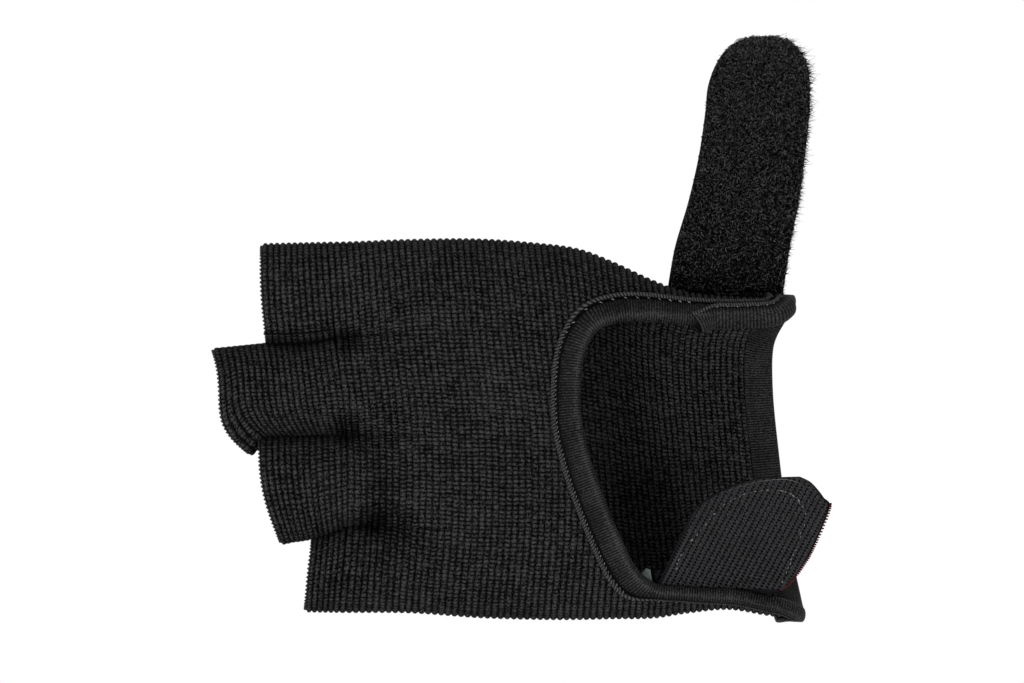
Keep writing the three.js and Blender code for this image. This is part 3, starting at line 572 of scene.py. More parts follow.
def opening_places():
    """Places round the wrist opening: the cut-out over the back of the hand, then the hem round the palm."""
    x, z = OPENING_EDGE["x"], OPENING_EDGE["z"]
    top = curve(OUTLINE, "x", "top", x) - WALL / 2
    bottom = curve(OUTLINE, "x", "bottom", x) + WALL / 2
    back = np.degrees(np.arccos(np.clip(1 - 2 * (top - z) / (top - bottom), -1, 1)))
    palm = np.array([back[-1] + CORNER_ANGLES[0], *HEM_ANGLES, 360 + back[0] - CORNER_ANGLES[1]])
    across = half_turn(np.radians(palm))
    hem = np.where(
        np.sin(np.radians(palm)) > 0,
        curve(HEM, "across", "back", across),
        curve(HEM, "across", "palm", across),
    )
    return np.concatenate([x, hem]), np.concatenate([back, palm])


def thumb_places():
    """Places round the thumb hole: a tilted oval on the skin."""
    turn = np.linspace(0, 2 * np.pi, THUMB["places"], endpoint=False)
    x = THUMB["x"] + THUMB["along_half"] * (np.cos(turn) - THUMB["tilt"] * np.sin(turn))
    return x, THUMB["angle"] + THUMB["round_half"] * np.sin(turn)


WRIST_LINE = line_on_skin(*opening_places(), inward=-1)
THUMB_LINE = line_on_skin(*thumb_places(), inward=1)


def past_wrist(x, angle):
    """Whether places lie past the wrist's edge: inside the area between that edge and a line past the hem,
    both unrolled, by counting the edges that a ray crosses."""
    edge_x = WRIST_LINE.x + WRIST_LINE.step_x * CUT_MARGIN
    edge_angle = np.degrees(np.unwrap(np.radians(WRIST_LINE.angle + WRIST_LINE.step_angle * CUT_MARGIN)))
    start = edge_angle[0]
    xs = np.concatenate([edge_x, [edge_x[0], PAST_HEM, PAST_HEM]])
    angles = np.concatenate([edge_angle, [start + 360, start + 360, start]])
    turned = start + np.mod(angle - start, 360)
    inside = np.zeros(np.shape(x), bool)
    for x0, a0, x1, a1 in zip(xs, angles, np.roll(xs, -1), np.roll(angles, -1)):
        if a0 != a1:
            spans = (a0 > turned) != (a1 > turned)
            inside ^= spans & (x < x0 + (turned - a0) * (x1 - x0) / (a1 - a0))
    return inside


def in_thumb_hole(x, angle):
    """Whether places lie inside the thumb hole's oval."""
    side = (np.mod(angle - THUMB["angle"] + 180, 360) - 180) / THUMB["round_half"]
    along = (x - THUMB["x"]) / THUMB["along_half"] + THUMB["tilt"] * side
    return along**2 + side**2 < (1 + CUT_MARGIN / THUMB["along_half"]) ** 2


def grid_faces(rows, columns):
    """Triangles of a grid of points, two for each of its cells."""
    first = (np.arange(rows - 1)[:, None] * columns + np.arange(columns - 1)).ravel()
    corners = first[:, None] + np.array([0, columns, columns + 1, 1])
    return corners[:, TWO_TRIANGLES].reshape(-1, 3)


def fan(sides):
    """Triangles over a ring of points, from its first one."""
    return np.stack([np.zeros(sides - 2, int), np.arange(1, sides - 1), np.arange(2, sides)], axis=1)


def normals_at(points, faces):
    """Normals at points, as the area-weighted mean of the faces round them."""
    a, b, c = (points[faces[:, k]] for k in range(3))
    area = np.cross(b - a, c - a)
    sums = np.zeros_like(points)
    for k in range(3):
        np.add.at(sums, faces[:, k], area)
    return unit(sums)


def walled(count, faces, corners):
    """The faces of a closed wall between two sheets of count points each: the outer sheet's, the inner one's
    turned round, and two along each edge that a single face has. corners number the faces' UV places."""
    sides = [0, 1, 1, 2, 2, 0]
    edges = faces[:, sides].reshape(-1, 2)
    places = corners[:, sides].reshape(-1, 2)
    keys = np.sort(edges, axis=1) @ np.array([count, 1])
    _, first, uses = np.unique(keys, return_index=True, return_counts=True)
    a, b = edges[first[uses == 1]].T
    c, d = places[first[uses == 1]].T
    rim = np.concatenate([np.stack([b, a, a + count], axis=1), np.stack([b, a + count, b + count], axis=1)])
    rim_corners = np.concatenate([np.stack([d, c, c], axis=1), np.stack([d, c, d], axis=1)])
    return (
        np.concatenate([faces, faces[:, ::-1] + count, rim]),
        np.concatenate([corners, corners[:, ::-1], rim_corners]),
    )


def slab(points, uv, low, high):
    """A closed wall over a grid of points, from a low to a high distance along its normals."""
    rows, columns = points.shape[:2]
    faces = grid_faces(rows, columns)
    flat = points.reshape(-1, 3)
    normals = normals_at(flat, faces)
    top = flat + normals * np.broadcast_to(high, (rows, columns)).reshape(-1, 1)
    bottom = flat + normals * np.broadcast_to(low, (rows, columns)).reshape(-1, 1)
    faces, corners = walled(len(flat), faces, faces)
    return np.concatenate([top, bottom]), faces, uv.reshape(-1, 2)[corners]


def edge_distance(points):
    """How far each point of a grid is from the grid's nearest edge, along its rows and columns."""
    def run(axis):
        steps = np.linalg.norm(np.diff(points, axis=axis), axis=-1)
        zero = np.zeros_like(np.take(steps, [0], axis=axis))
        there = np.concatenate([zero, np.cumsum(steps, axis=axis)], axis=axis)
        return np.minimum(there, np.take(there, [-1], axis=axis) - there)

    return np.minimum(run(0), run(1))


def rounding(distance, radius):
    """Share of a full height near an edge: a quarter circle of that radius."""
    return np.sqrt(1 - (1 - np.clip(distance / radius, 0, 1)) ** 2)


def tube(rings, along, across, end_faces=None):
    """A surface through rings of points, closed into a loop or by the given faces at its two ends. along and
    across are the UV of the rings and of their points, each with one value more where that way closes."""
    closed = end_faces is None
    count, sides = rings.shape[:2]
    i, j = np.meshgrid(np.arange(count if closed else count - 1), np.arange(sides), indexing="ij")
    cells = ((i, j), (i + 1, j), (i + 1, j + 1), (i, j + 1))
    points = np.stack([(a % count) * sides + b % sides for a, b in cells], axis=-1).reshape(-1, 4)
    uv = np.stack([np.stack([along[a], across[b]], axis=-1) for a, b in cells], axis=-2).reshape(-1, 4, 2)
    faces, uv = points[:, TWO_TRIANGLES].reshape(-1, 3), uv[:, TWO_TRIANGLES].reshape(-1, 3, 2)
    if not closed:
        last = end_faces[:, ::-1] + (count - 1) * sides
        near, far = (np.full(end_faces.shape, along[k]) for k in (0, count - 1))
        near, far = (np.stack([there, across[end_faces]], axis=-1) for there in (near, far))
        faces = np.concatenate([faces, end_faces, last])
        uv = np.concatenate([uv, near, far[:, ::-1]])
    return outward(rings.reshape(-1, 3), faces, uv)


def outward(points, faces, uv):
    """A closed mesh with its faces turned outwards, by the sign of its volume."""
    a, b, c = (points[faces[:, k]] for k in range(3))
    if np.sum(a * np.cross(b, c)) < 0:
        return points, faces[:, ::-1], uv[:, ::-1]
    return points, faces, uv


def threads(paths, up, radius, sides, tone):
    """Many closed thin threads: a ring of points round each station of each path. up is a way across each
    path, and tone is each thread's own number, kept in U, with the way along it in V."""
    count, stations = paths.shape[:2]
    way = unit(np.gradient(paths, axis=1))
    across = unit(np.cross(way, up[:, None]))
    over = np.cross(across, way)
    turn = 2 * np.pi * np.arange(sides) / sides
    thick = np.broadcast_to(radius, (count, stations))[..., None, None]
    rings = across[:, :, None] * np.cos(turn)[:, None] + over[:, :, None] * np.sin(turn)[:, None]
    points = (paths[:, :, None] + thick * rings).reshape(-1, 3)
    i, j = np.meshgrid(np.arange(stations - 1), np.arange(sides), indexing="ij")
    k = (j + 1) % sides
    cells = np.stack([i * sides + j, i * sides + k, (i + 1) * sides + k, (i + 1) * sides + j], axis=-1)
    walls = cells.reshape(-1, 4)[:, TWO_TRIANGLES].reshape(-1, 3)
    thread = np.concatenate([walls, fan(sides)[:, ::-1], fan(sides) + (stations - 1) * sides])
    faces = (thread[None] + (np.arange(count) * stations * sides)[:, None, None]).reshape(-1, 3)
    there = np.repeat(np.linspace(0, 1, stations), sides)
    uv = np.stack([np.repeat(tone, stations * sides), np.tile(there, count)], axis=-1) * UV_SPAN
    return outward(points, faces, uv[faces])


def joined(*meshes):
    """Several closed meshes as one."""
    starts = np.cumsum([0] + [len(points) for points, _, _ in meshes[:-1]])
    return (
        np.concatenate([points for points, _, _ in meshes]),
        np.concatenate([faces + start for start, (_, faces, _) in zip(starts, meshes)]),
        np.concatenate([uv for _, _, uv in meshes]),
    )


def add_piece(name, mesh_data, material, replaced=()):
    """A piece of the glove from arrays: points in millimetres, triangles, and UV places in ribs or
    millimetres for each triangle's corners."""
    points, faces, uv = mesh_data
    mesh = bpy.data.meshes.new(name)
    mesh.vertices.add(len(points))
    mesh.vertices.foreach_set("co", (points * MM).astype(np.float32).ravel())
    mesh.loops.add(faces.size)
    mesh.loops.foreach_set("vertex_index", faces.astype(np.int32).ravel())
    mesh.polygons.add(len(faces))
    mesh.polygons.foreach_set("loop_start", np.arange(0, faces.size, 3, dtype=np.int32))
    mesh.polygons.foreach_set("use_smooth", np.ones(len(faces), bool))
    layer = mesh.uv_layers.new(name="fabric")
    layer.uv.foreach_set("vector", (uv / UV_SPAN).astype(np.float32).ravel())
    mesh.update(calc_edges=True)
    mesh.materials.append(material)
    piece = bpy.data.objects.new(name, mesh)
    bpy.context.scene.collection.objects.link(piece)
    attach(piece, "root")
    if replaced:
        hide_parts(*replaced)
    return piece


# Materials


def math_operator(operation, turned=False):
    """A method that adds a Math node, with its two values turned round for Python's reflected operators."""
    def method(self, other):
        return self.finish.maths(operation, *((other, self) if turned else (self, other)))

    return method


class Signal:
    """A node's output that Python's operators work on. Each operation adds its Math node."""

    def __init__(self, finish, socket):
        self.finish = finish
        self.socket = socket

    __add__ = __radd__ = math_operator("ADD")
    __sub__ = math_operator("SUBTRACT")
    __rsub__ = math_operator("SUBTRACT", turned=True)
    __mul__ = __rmul__ = math_operator("MULTIPLY")
    __truediv__ = math_operator("DIVIDE")
    __pow__ = math_operator("POWER")


class Finish:
    """A procedural material under construction round one Principled shader."""

    def __init__(self, name, roughness, gloss=0.02):
        self.material = bpy.data.materials.new(name)
        self.material.use_nodes = True
        self.tree = self.material.node_tree
        self.shader = self.tree.nodes["Principled BSDF"]
        self.shader.inputs["Roughness"].default_value = roughness
        self.shader.inputs["Specular IOR Level"].default_value = gloss

    def connect(self, socket, value):
        """Links a signal to a socket, or sets the socket to a number or colour."""
        if isinstance(value, Signal):
            self.tree.links.new(value.socket, socket)
        else:
            socket.default_value = value

    def node(self, kind, settings=None, sockets=None, output=0):
        """Adds a node: its settings first, then its sockets' values or links."""
        made = self.tree.nodes.new("ShaderNode" + kind)
        for name, value in (settings or {}).items():
            setattr(made, name, value)
        for name, value in (sockets or {}).items():
            self.connect(made.inputs[name], value)
        return Signal(self, made.outputs[output])

    def maths(self, operation, *values):
        """A Math node."""
        return self.node("Math", {"operation": operation}, dict(enumerate(values)))

    def fabric_uv(self):
        """The piece's own two surface numbers, in ribs or millimetres."""
        uv = self.node("UVMap", {"uv_map": "fabric"})
        u = self.node("SeparateXYZ", None, {0: uv}, output=0)
        v = Signal(self, u.socket.node.outputs[1])
        return u * UV_SPAN, v * UV_SPAN

    def noise(self, size, detail=2.0, rough=0.5):
        """Noise between 0 and 1 in space, with cells of a size in millimetres."""
        place = self.node("TexCoord", output="Object")
        sockets = {"Vector": place, "Scale": 1 / (size * MM), "Detail": detail, "Roughness": rough}
        return self.node("TexNoise", None, sockets)

    def near(self, x, z, radius):
        """1 at a place seen from the back of the hand, falling to 0 at a radius in millimetres."""
        place = self.node("TexCoord", output="Object")
        centre = (x * MM, 0, z * MM)
        offset = self.node("VectorMath", {"operation": "SUBTRACT"}, {0: place, 1: centre})
        flat = self.node("VectorMath", {"operation": "MULTIPLY"}, {0: offset, 1: (1, 0, 1)})
        far = self.node("VectorMath", {"operation": "LENGTH"}, {0: flat}, output=1)
        return 1 - self.clamped(far / (radius * MM)) ** 2

    def wave(self, phase):
        """A wave between 0 and 1 that repeats each time the phase grows by 1."""
        return self.maths("SINE", phase * (2 * np.pi)) * 0.5 + 0.5

    def bumps(self, phase):
        """Round bumps between 0 and 1 with sharp grooves at each whole phase."""
        return self.maths("ABSOLUTE", self.maths("SINE", phase * np.pi))

    def clamped(self, value):
        """A value held between 0 and 1."""
        return self.maths("MINIMUM", self.maths("MAXIMUM", value, 0.0), 1.0)

    def finished(self, tone, colour, darkest, lightest, height, depth):
        """The material with its shader fed: a tone from 0 to 1 between two shades of a colour, and the height
        of the relief and its depth in millimetres."""
        dark, light = ((*shade(colour, factor), 1.0) for factor in (darkest, lightest))
        mixed = self.node("Mix", {"data_type": "RGBA"}, {0: tone, 6: dark, 7: light}, output=2)
        self.connect(self.shader.inputs["Base Color"], mixed)
        bump = self.node("Bump", None, {"Height": height, "Distance": depth * MM, "Strength": 1.0})
        self.connect(self.shader.inputs["Normal"], bump)
        return self.material


def shade(colour, factor):
    """A colour made lighter or darker."""
    return tuple(min(1.0, part * factor) for part in colour)


def knit_material(colours, sizes):
    """Ribbed knit: beads of yarn along each rib, painted shade in the grooves between the ribs, fine fuzz, and
    painted shade round the dimples.
    """
    finish = Finish("ribbed_knit", roughness=0.9)
    rib, arc = finish.fabric_uv()
    row = finish.maths("FLOOR", rib)
    own = finish.node("TexWhiteNoise", {"noise_dimensions": "1D"}, {"W": row})
    drift = finish.noise(9.0, 1.0)
    pitch = sizes.bead_pitch / MM
    phase = arc / pitch + own * 0.3 + drift * 0.8
    beads = finish.bumps(phase)
    place = finish.node("CombineXYZ", None, {"X": row, "Y": finish.maths("FLOOR", phase)})
    bead = finish.node("TexWhiteNoise", {"noise_dimensions": "2D"}, {"Vector": place})
    stretch = finish.near(STRETCHED["x"], STRETCHED["z"], STRETCHED["radius"])
    crest = finish.bumps(rib) ** 0.6 * (1 - stretch * 0.35) + stretch * 0.35
    height = crest * (beads**0.8 * (0.6 + stretch * 0.2) + (0.4 - stretch * 0.2))
    fuzz = finish.noise(0.42, 2.0, 0.9)
    patches = finish.noise(14.0, 2.0)
    dimples = zip(*DIMPLES.values())
    # Painted shade: the colour is darkened round each dimple, over twice its radius and by its depth.
    painted_dimple_shade = sum(finish.near(x, z, 2 * radius) * depth for x, z, radius, depth in dimples)
    # The relief's height lightens the colour on the crests and darkens it in the grooves: painted light and
    # shade.
    lit = height * 1.1 + fuzz * 4.2 + bead * 0.3 + patches * 0.4
    tone = finish.clamped(lit - painted_dimple_shade * 0.16 - 2.9)
    return finish.finished(tone, colours.knit, 0.05, 3.3, height + fuzz * 0.8, 0.45)


def tape_material(colours, name, rib_pitch, reach):
    """Folded elastic tape: fine ribs across it, softly lighter on their crests, painted shade in the groove
    beside its rolled edge, and painted light that grows towards the fold and is strongest on it. reach is how
    far it reaches from that edge to the fold."""
    finish = Finish(name, roughness=0.6, gloss=0.06)
    along, down = finish.fabric_uv()
    ribs = finish.wave(along / rib_pitch)
    fuzz = finish.noise(0.4, 3.0, 0.8)
    patches = finish.noise(8.0, 1.0)
    # Painted shade: the stitched groove beside the rolled edge is darkened almost to black.
    groove = finish.clamped(1.8 - finish.maths("ABSOLUTE", down - GROOVE * reach) / 0.4)
    # Painted light: the colour lightens from the groove towards the fold, and most on the fold itself, where the
    # light falls.
    to_fold = finish.clamped(down / reach) * 0.3
    painted_fold_light = to_fold + finish.clamped(1 - finish.maths("ABSOLUTE", down - reach) / 0.9) * 0.2
    tone = finish.clamped(ribs * 0.45 + fuzz * 2.4 + patches * 0.4 + painted_fold_light - 1.77 - groove)
    return finish.finished(tone, colours.binding, 0.03, 2.4, ribs * (1 - groove) + fuzz * 0.5, 0.1)


def cord_material(name, colour, pitch, slant):
    """A rolled or cast-off edge: wraps of yarn at a spacing, slanting by a number of wraps a millimetre."""
    finish = Finish(name, roughness=0.6, gloss=0.06)
    along, across = finish.fabric_uv()
    wraps = finish.bumps(along / pitch + across * slant)
    fuzz = finish.noise(0.4, 2.0, 0.8)
    tone = finish.clamped(wraps * 0.9 + fuzz * 1.9 - 1.12)
    return finish.finished(tone, colour, 0.06, 2.9, wraps + fuzz * 0.4, 0.22)


def webbing_material(colours):
    """Tightly woven backing tape: a fine plain weave."""
    finish = Finish("woven_backing", roughness=0.7)
    along, across = finish.fabric_uv()
    weave = finish.wave(along / 0.5) * finish.wave(across / 0.5)
    fuzz = finish.noise(0.3, 2.0)
    tone = finish.clamped(weave * 0.7 + fuzz * 0.4 - 0.1)
    return finish.finished(tone, colours.webbing, 0.4, 1.7, weave, 0.1)


def pile_material(colours, name, darkest, lightest):
    """Napped loops: each strand has its own tone, over tangled dark ones."""
    finish = Finish(name, roughness=0.75)
    own, _ = finish.fabric_uv()
    tangle = finish.noise(0.5, 3.0, 0.75)
    tangled = finish.clamped(tangle * 2.6 - 0.95) * 0.35
    tone = tangled + finish.maths("FRACT", own / UV_SPAN) ** 3 * 0.65
    return finish.finished(tone, colours.pile, darkest, lightest, tangle, 0.5)


def hook_base_material(colours):
    """The hook tape's ground: woven cords along it with dark holes between them."""
    finish = Finish("hook_ground", roughness=0.5, gloss=0.05)
    along, across = finish.fabric_uv()
    cord = across / HOOK_CORD + 0.5
    row = finish.maths("FLOOR", cord + 0.5)
    groove = 1 - finish.wave(cord - 0.25)
    hole = 1 - finish.wave(along / HOOK_STEP + row * 0.5)
    dark = finish.clamped(groove * 1.5 + hole * 1.3 - 1.5)
    fuzz = finish.noise(0.3, 2.0)
    patches = finish.noise(7.0, 1.0)
    tone = finish.clamped(1.05 - dark * 1.2 + fuzz * 0.5 + patches * 0.4 - 0.6)
    return finish.finished(tone, colours.hooks, 0.02, 1.5, 1 - dark, 0.35)


def strand_material(name, colour, roughness, spread):
    """Threads and hooks whose tone differs from one to the next, and is lighter half-way along each."""
    finish = Finish(name, roughness, 0.05)
    own, along = finish.fabric_uv()
    tone = finish.maths("FRACT", own / UV_SPAN)
    lift = finish.bumps(along / UV_SPAN)
    tone = finish.clamped(tone * 0.7 + lift * 0.3)
    return finish.finished(tone, colour, 1 / spread, spread, finish.noise(0.15, 1.0), 0.05)


def label_material(colours):
    """A woven ribbon with a satin face: fine slanting threads."""
    finish = Finish("label_ribbon", roughness=0.6)
    along, across = finish.fabric_uv()
    satin = finish.wave((along + across) / 0.35)
    fuzz = finish.noise(0.5, 2.0)
    tone = finish.clamped(satin * 0.5 + fuzz * 0.6 - 0.1)
    return finish.finished(tone, colours.label, 0.5, 1.5, satin, 0.06)


# Pieces


def along_rows(points):
    """How far each point of a grid is along its row."""
    steps = np.linalg.norm(np.diff(points, axis=1), axis=-1)
    return np.concatenate([np.zeros((len(points), 1)), np.cumsum(steps, axis=1)], axis=1)


def rib_crest(phase):
    """The ribs' height between 0 and 1: a rounded sine that is 0 at each whole phase."""
    return np.abs(np.sin(np.pi * phase)) ** CREST_POWER


def facing_front(ways):
    """Ways turned round where they point to the palm."""
    return np.where(ways[:, 1:2] > 0, -ways, ways)


def beside_slits(finger, within):
    """Share of the ribs' relief across one stall, which is less beside a slit."""
    near = np.ones_like(within)
    for is_slit, distance in ((finger > 0, within), (finger < FINGERS[-1], 1 - within)):
        if is_slit:
            near = np.minimum(near, lerp(SLIT_RELIEF, 1, np.clip(distance / SLIT_RELIEF_FADE, 0, 1)))
    return near


def dimpled(points, side):
    """The knit's points with round hollows pressed into the back, which fall off in a bell curve."""
    if side > 0:
        return points
    x, y, z = np.moveaxis(points, -1, 0)
    for at_x, at_z, radius, depth in zip(*DIMPLES.values()):
        y = y + depth * np.exp(-((x - at_x) ** 2 + (z - at_z) ** 2) / radius**2)
    return np.stack([x, y, z], axis=-1)


def knit_sheets():
    """The knit's middle surface as sheets of points: for each finger and side the stall and the hand past it,
    and one for each side of a slit. A point's numbers are x, y, z, rib, place along the rib, angle round the
    hand (0 off the palm), rounding at the mouth and share of the relief. The place along the rib is measured on
    the stall's foot and on the first rib past the knuckles, and stretches with the knit. Returns the points and
    their triangles."""
    within = half_turn(np.pi * np.arange(COLUMNS + 1) / COLUMNS)
    palm_ribs = np.linspace(BASE_RIB, LAST_RIB, (LAST_RIB - BASE_RIB) * ROWS_A_RIB + 1)[:, None]
    sheets, faces, sides = [], [], {}

    def add_sheet(points, rib, arc, angle, edge, near, flip):
        rows, columns = points.shape[:2]
        values = (rib, arc, angle, edge, near)
        numbers = [np.broadcast_to(value, (rows, columns))[..., None] for value in values]
        made = grid_faces(rows, columns) + sum(len(sheet) for sheet in sheets)
        sheets.append(np.concatenate([points, *numbers], axis=-1).reshape(rows * columns, -1))
        faces.append(made[:, ::-1] if flip else made)

    for side in (-1, 1):
        palms = [dimpled(palm_point(finger, palm_ribs, within, side), side) for finger in FINGERS]
        run = along_rows(np.concatenate(palms, axis=1))[KNUCKLE_FADE * ROWS_A_RIB]
        melt = soft_step((palm_ribs - BASE_RIB) / KNUCKLE_FADE)
        for finger, palm in zip(FINGERS, palms):
            level = run[finger * len(within):(finger + 1) * len(within)]
            foot = along_rows(palm)[0]
            foot = foot + (level[0] + level[-1] - foot[-1]) / 2
            arc = lerp(foot, level, melt)
            mouth = int(STALLS["mouth_rib"][finger])
            ribs = np.linspace(mouth, BASE_RIB, (BASE_RIB - mouth) * ROWS_A_RIB + 1)[:, None]
            edge = rounding((ribs - mouth) * RIB_PITCH + SOFT_EDGE_LEFT, MOUTH_ROUND)
            stall = dimpled(stall_point(finger, ribs, within, side), side)
            turn = np.degrees(np.arccos(1 - 2 * across_finger(finger, within)))
            add_sheet(stall, ribs, foot, 0, edge, beside_slits(finger, within), side < 0)
            add_sheet(palm, palm_ribs, arc, turn if side < 0 else 360 - turn, 1, 1, side < 0)
            whole = np.concatenate([stall, palm[1:]])
            edges = np.concatenate([edge, np.ones((len(palm) - 1, 1))])
            sides[finger, side] = (np.concatenate([ribs, palm_ribs[1:]]), edges, whole[:, 0], whole[:, -1])
    for slit, end in enumerate(SLIT_ENDS):
        for finger, last in ((slit, True), (slit + 1, False)):
            ribs, edge = sides[finger, -1][:2]
            free = ribs[:, 0] <= end
            strip = np.stack([sides[finger, side][3 if last else 2][free] for side in (-1, 1)], axis=1)
            add_sheet(strip, ribs[free], along_rows(strip), 0, edge[free], SLIT_RELIEF, last)
    return np.concatenate(sheets), np.concatenate(faces)


def knit_mesh(sizes):
    """The whole knit as one closed wall. Points at one place are joined, the faces past the cut edges are left
    out, and each face of the wall rises and falls with the ribs: its height follows a rounded sine."""
    loose, corners = knit_sheets()
    places = np.round(loose[:, :3] / WELD).astype(int)
    _, first, number = np.unique(places, axis=0, return_index=True, return_inverse=True)
    welded = number.ravel()[corners]
    x, angle = (loose[:, k][corners].mean(axis=1) for k in (0, 5))
    cut = (angle > 0) & (past_wrist(x, angle) | in_thumb_hole(x, angle))
    a, b, c = welded.T
    whole = (a != b) & (b != c) & (c != a)
    welded, corners = welded[whole & ~cut], corners[whole & ~cut]
    used, faces = np.unique(welded, return_inverse=True)
    faces = faces.reshape(-1, 3)
    shared = loose[first[used]]
    points, rib, edge, near = shared[:, :3], shared[:, 3], shared[:, 6], shared[:, 7]
    normals = normals_at(points, faces)
    relief = near * sizes.rib_depth / MM
    outer = edge * (WALL / 2 + relief * (rib_crest(rib) - OUTER_LEVEL))
    inner = edge * (WALL / 2 + relief * INNER_RELIEF * (rib_crest(rib + 0.5) - INNER_LEVEL))
    both = np.concatenate([points + normals * outer[:, None], points - normals * inner[:, None]])
    faces, corners = walled(len(points), faces, corners)
    return both, faces, loose[:, [3, 4]][corners]


def stall_seam(within, sizes):
    """A thread sewn along the back of the index stall, at a place across it: it dips between the ribs."""
    rib = np.linspace(STALLS["mouth_rib"][0] - SEAM["past_mouth"], SEAM["to_rib"], SEAM["stations"])
    steps = (0, 0), (SEAM["step"], 0), (0, -SEAM["step"])
    point, ahead, beside = (stall_point(0, rib + along, within + across, -1) for along, across in steps)
    up = facing_front(unit(np.cross(ahead - point, beside - point)))
    height = WALL / 2 + sizes.rib_depth / MM * (rib_crest(rib) - OUTER_LEVEL) + SEAM["lift"]
    path = point + up * height[:, None]
    return threads(path[None], up[:1], SEAM["radius"], THREAD_SIDES, np.array([0.5]))


def mouth_edge(finger):
    """The cast-off edge of a stall: a closed thread round its mouth that steps in and out once a loop."""
    rib = STALLS["mouth_rib"][finger] + MOUTH_INSET
    within = half_turn(np.linspace(0, np.pi, MOUTH_PLACES, endpoint=False))
    outline = np.concatenate([stall_point(finger, rib, within, -1), stall_point(finger, rib, 1 - within, 1)])
    way = way_round(outline)
    count = MOUTH_STATIONS * int(round(way[-1] / MOUTH_BEAD))
    path = places_at(outline, way, way[-1] * np.arange(count) / count)
    out = np.array([-1.0, 0.0, 0.0])
    beside = unit(np.cross(np.roll(path, -1, axis=0) - np.roll(path, 1, axis=0), out))
    path = path + out * (MOUTH_STEP * half_turn(2 * np.pi * np.arange(count) / MOUTH_STATIONS))[:, None]
    turn = 2 * np.pi * np.arange(THREAD_SIDES) / THREAD_SIDES
    ring = out * np.cos(turn)[:, None] + beside[:, None] * np.sin(turn)[:, None]
    rings = path[:, None] + MOUTH_THREAD * ring
    return tube(rings, MOUTH_BEAD / MOUTH_STATIONS * np.arange(count + 1), way_round(rings[0]))


def tape_section(reach, lip, inner, outer):
    """Sections of a tape folded over an edge, as rings of depths and heights: an outer chain from one leg's end
    round the fold to the other's, crowned and with a groove beside its end, and an inner chain back. reach and
    lip, the fold's gap, are one number or one for each place along the edge."""
    reach, lip = (np.reshape(value, (-1, 1)) for value in np.broadcast_arrays(reach, lip))
    tape = outer - inner
    turn = np.radians(FOLD_ANGLES)
    leg = reach * TAPE_SHARES
    bulge = lip + FOLD_BULGE * tape
    face = outer + TAPE_CROWN * tape
    flat = np.full(len(TAPE_SHARES), inner)
    outer_depth = np.concatenate([leg, -bulge * np.cos(turn), leg[:, ::-1]], axis=1)
    inner_depth = np.concatenate([leg, -lip * np.cos(turn), leg[:, ::-1]], axis=1)
    outer_height = np.concatenate([face, outer * np.sin(turn), -face[::-1]])
    inner_height = np.concatenate([flat, inner * np.sin(turn), -flat])
    return (
        np.concatenate([outer_depth, inner_depth[:, ::-1]], axis=1),
        np.concatenate([outer_height, inner_height[::-1]]),
    )


def folded_tape(line, reach, lip, inner, outer):
    """A tape folded over the closed edge that a line follows."""
    depth, height = tape_section(reach, lip, inner, outer)
    rings = beside_line(line, depth, height, reach)
    longest = rings[np.argmax(depth[:, 0]) % len(rings)]
    return tube(rings, line.step * np.arange(len(line.x) + 1), way_round(longest))


def on_top_run(line):
    """How much a place of the wrist's edge belongs to its run above the opening, on the back of the hand."""
    turn = np.mod(line.angle, 360)
    turned = np.minimum(turn - TOP_RUN["from_angle"], TOP_RUN["to_angle"] - turn) / TOP_RUN["fade_angle"]
    return soft_step((line.point[:, 2] - TOP_RUN["from_z"]) / TOP_RUN["fade_z"]) * soft_step(turned)


def wing_share(line):
    """How much a place of the wrist's edge belongs to the wing below the tab, where its tape is seen edge-on."""
    fade = WING["fade"]
    on_back = (WING["to_angle"] - np.mod(line.angle, 360)) / fade
    low = (WING["from_z"] - line.point[:, 2]) / (fade / 2)
    return np.prod([soft_step(share) for share in ((line.x - WING["from_x"]) / fade, low, on_back)], axis=0)


def lap_shape(line):
    """The lap's reach, how far its fold stands off the edge and how far that fold leans ahead, by place: it
    starts in a low slanting end and slides up onto the edge."""
    share = soft_step((line.x - line.x.min()) / LAP["slide"])
    lip = FOLD_GAP + BINDING_TAPE + GAP + lerp(LAP["drop"], 0, share)
    return lerp(LAP["start_reach"], LAP["reach"], share), lip, LAP["lean"] * (1 - share)


def lap_tape(line):
    """The binding's end lapped over its start: a folded tape whose fold climbs from below the edge onto it."""
    inner = WALL / 2 + FOLD_GAP + BINDING_TAPE + GAP
    reach, lip, lean = lap_shape(line)
    depth, height = tape_section(reach, lip, inner, inner + LAP["tape"])
    ahead = lean[:, None] * (reach[:, None] - depth) / (reach + lip + LAP["tape"])[:, None]
    rings = beside_line(line, depth, height, reach) - line.tangent[:, None] * ahead[..., None]
    half = rings.shape[1] // 2
    i = np.arange(half - 1)
    j = rings.shape[1] - 1 - i
    ends = np.concatenate([np.stack([i, i + 1, j - 1], axis=1), np.stack([i, j - 1, j], axis=1)])
    return tube(rings, line.step * np.arange(len(line.x)), way_round(rings[np.argmax(reach)]), ends)


def rolled_cord(line, depth, height, radius, reach, closed=True):
    """A round cord beside a line, whose depth and radius may differ from place to place."""
    turn = 2 * np.pi * np.arange(CORD_SIDES) / CORD_SIDES
    radius = np.reshape(radius, (-1, 1))
    depth = np.reshape(depth, (-1, 1)) + radius * np.cos(turn)
    rings = beside_line(line, depth, height + radius * np.sin(turn), reach)
    along = line.step * np.arange(len(line.x) + 1)
    return tube(rings, along, way_round(rings[0]), None if closed else fan(CORD_SIDES))


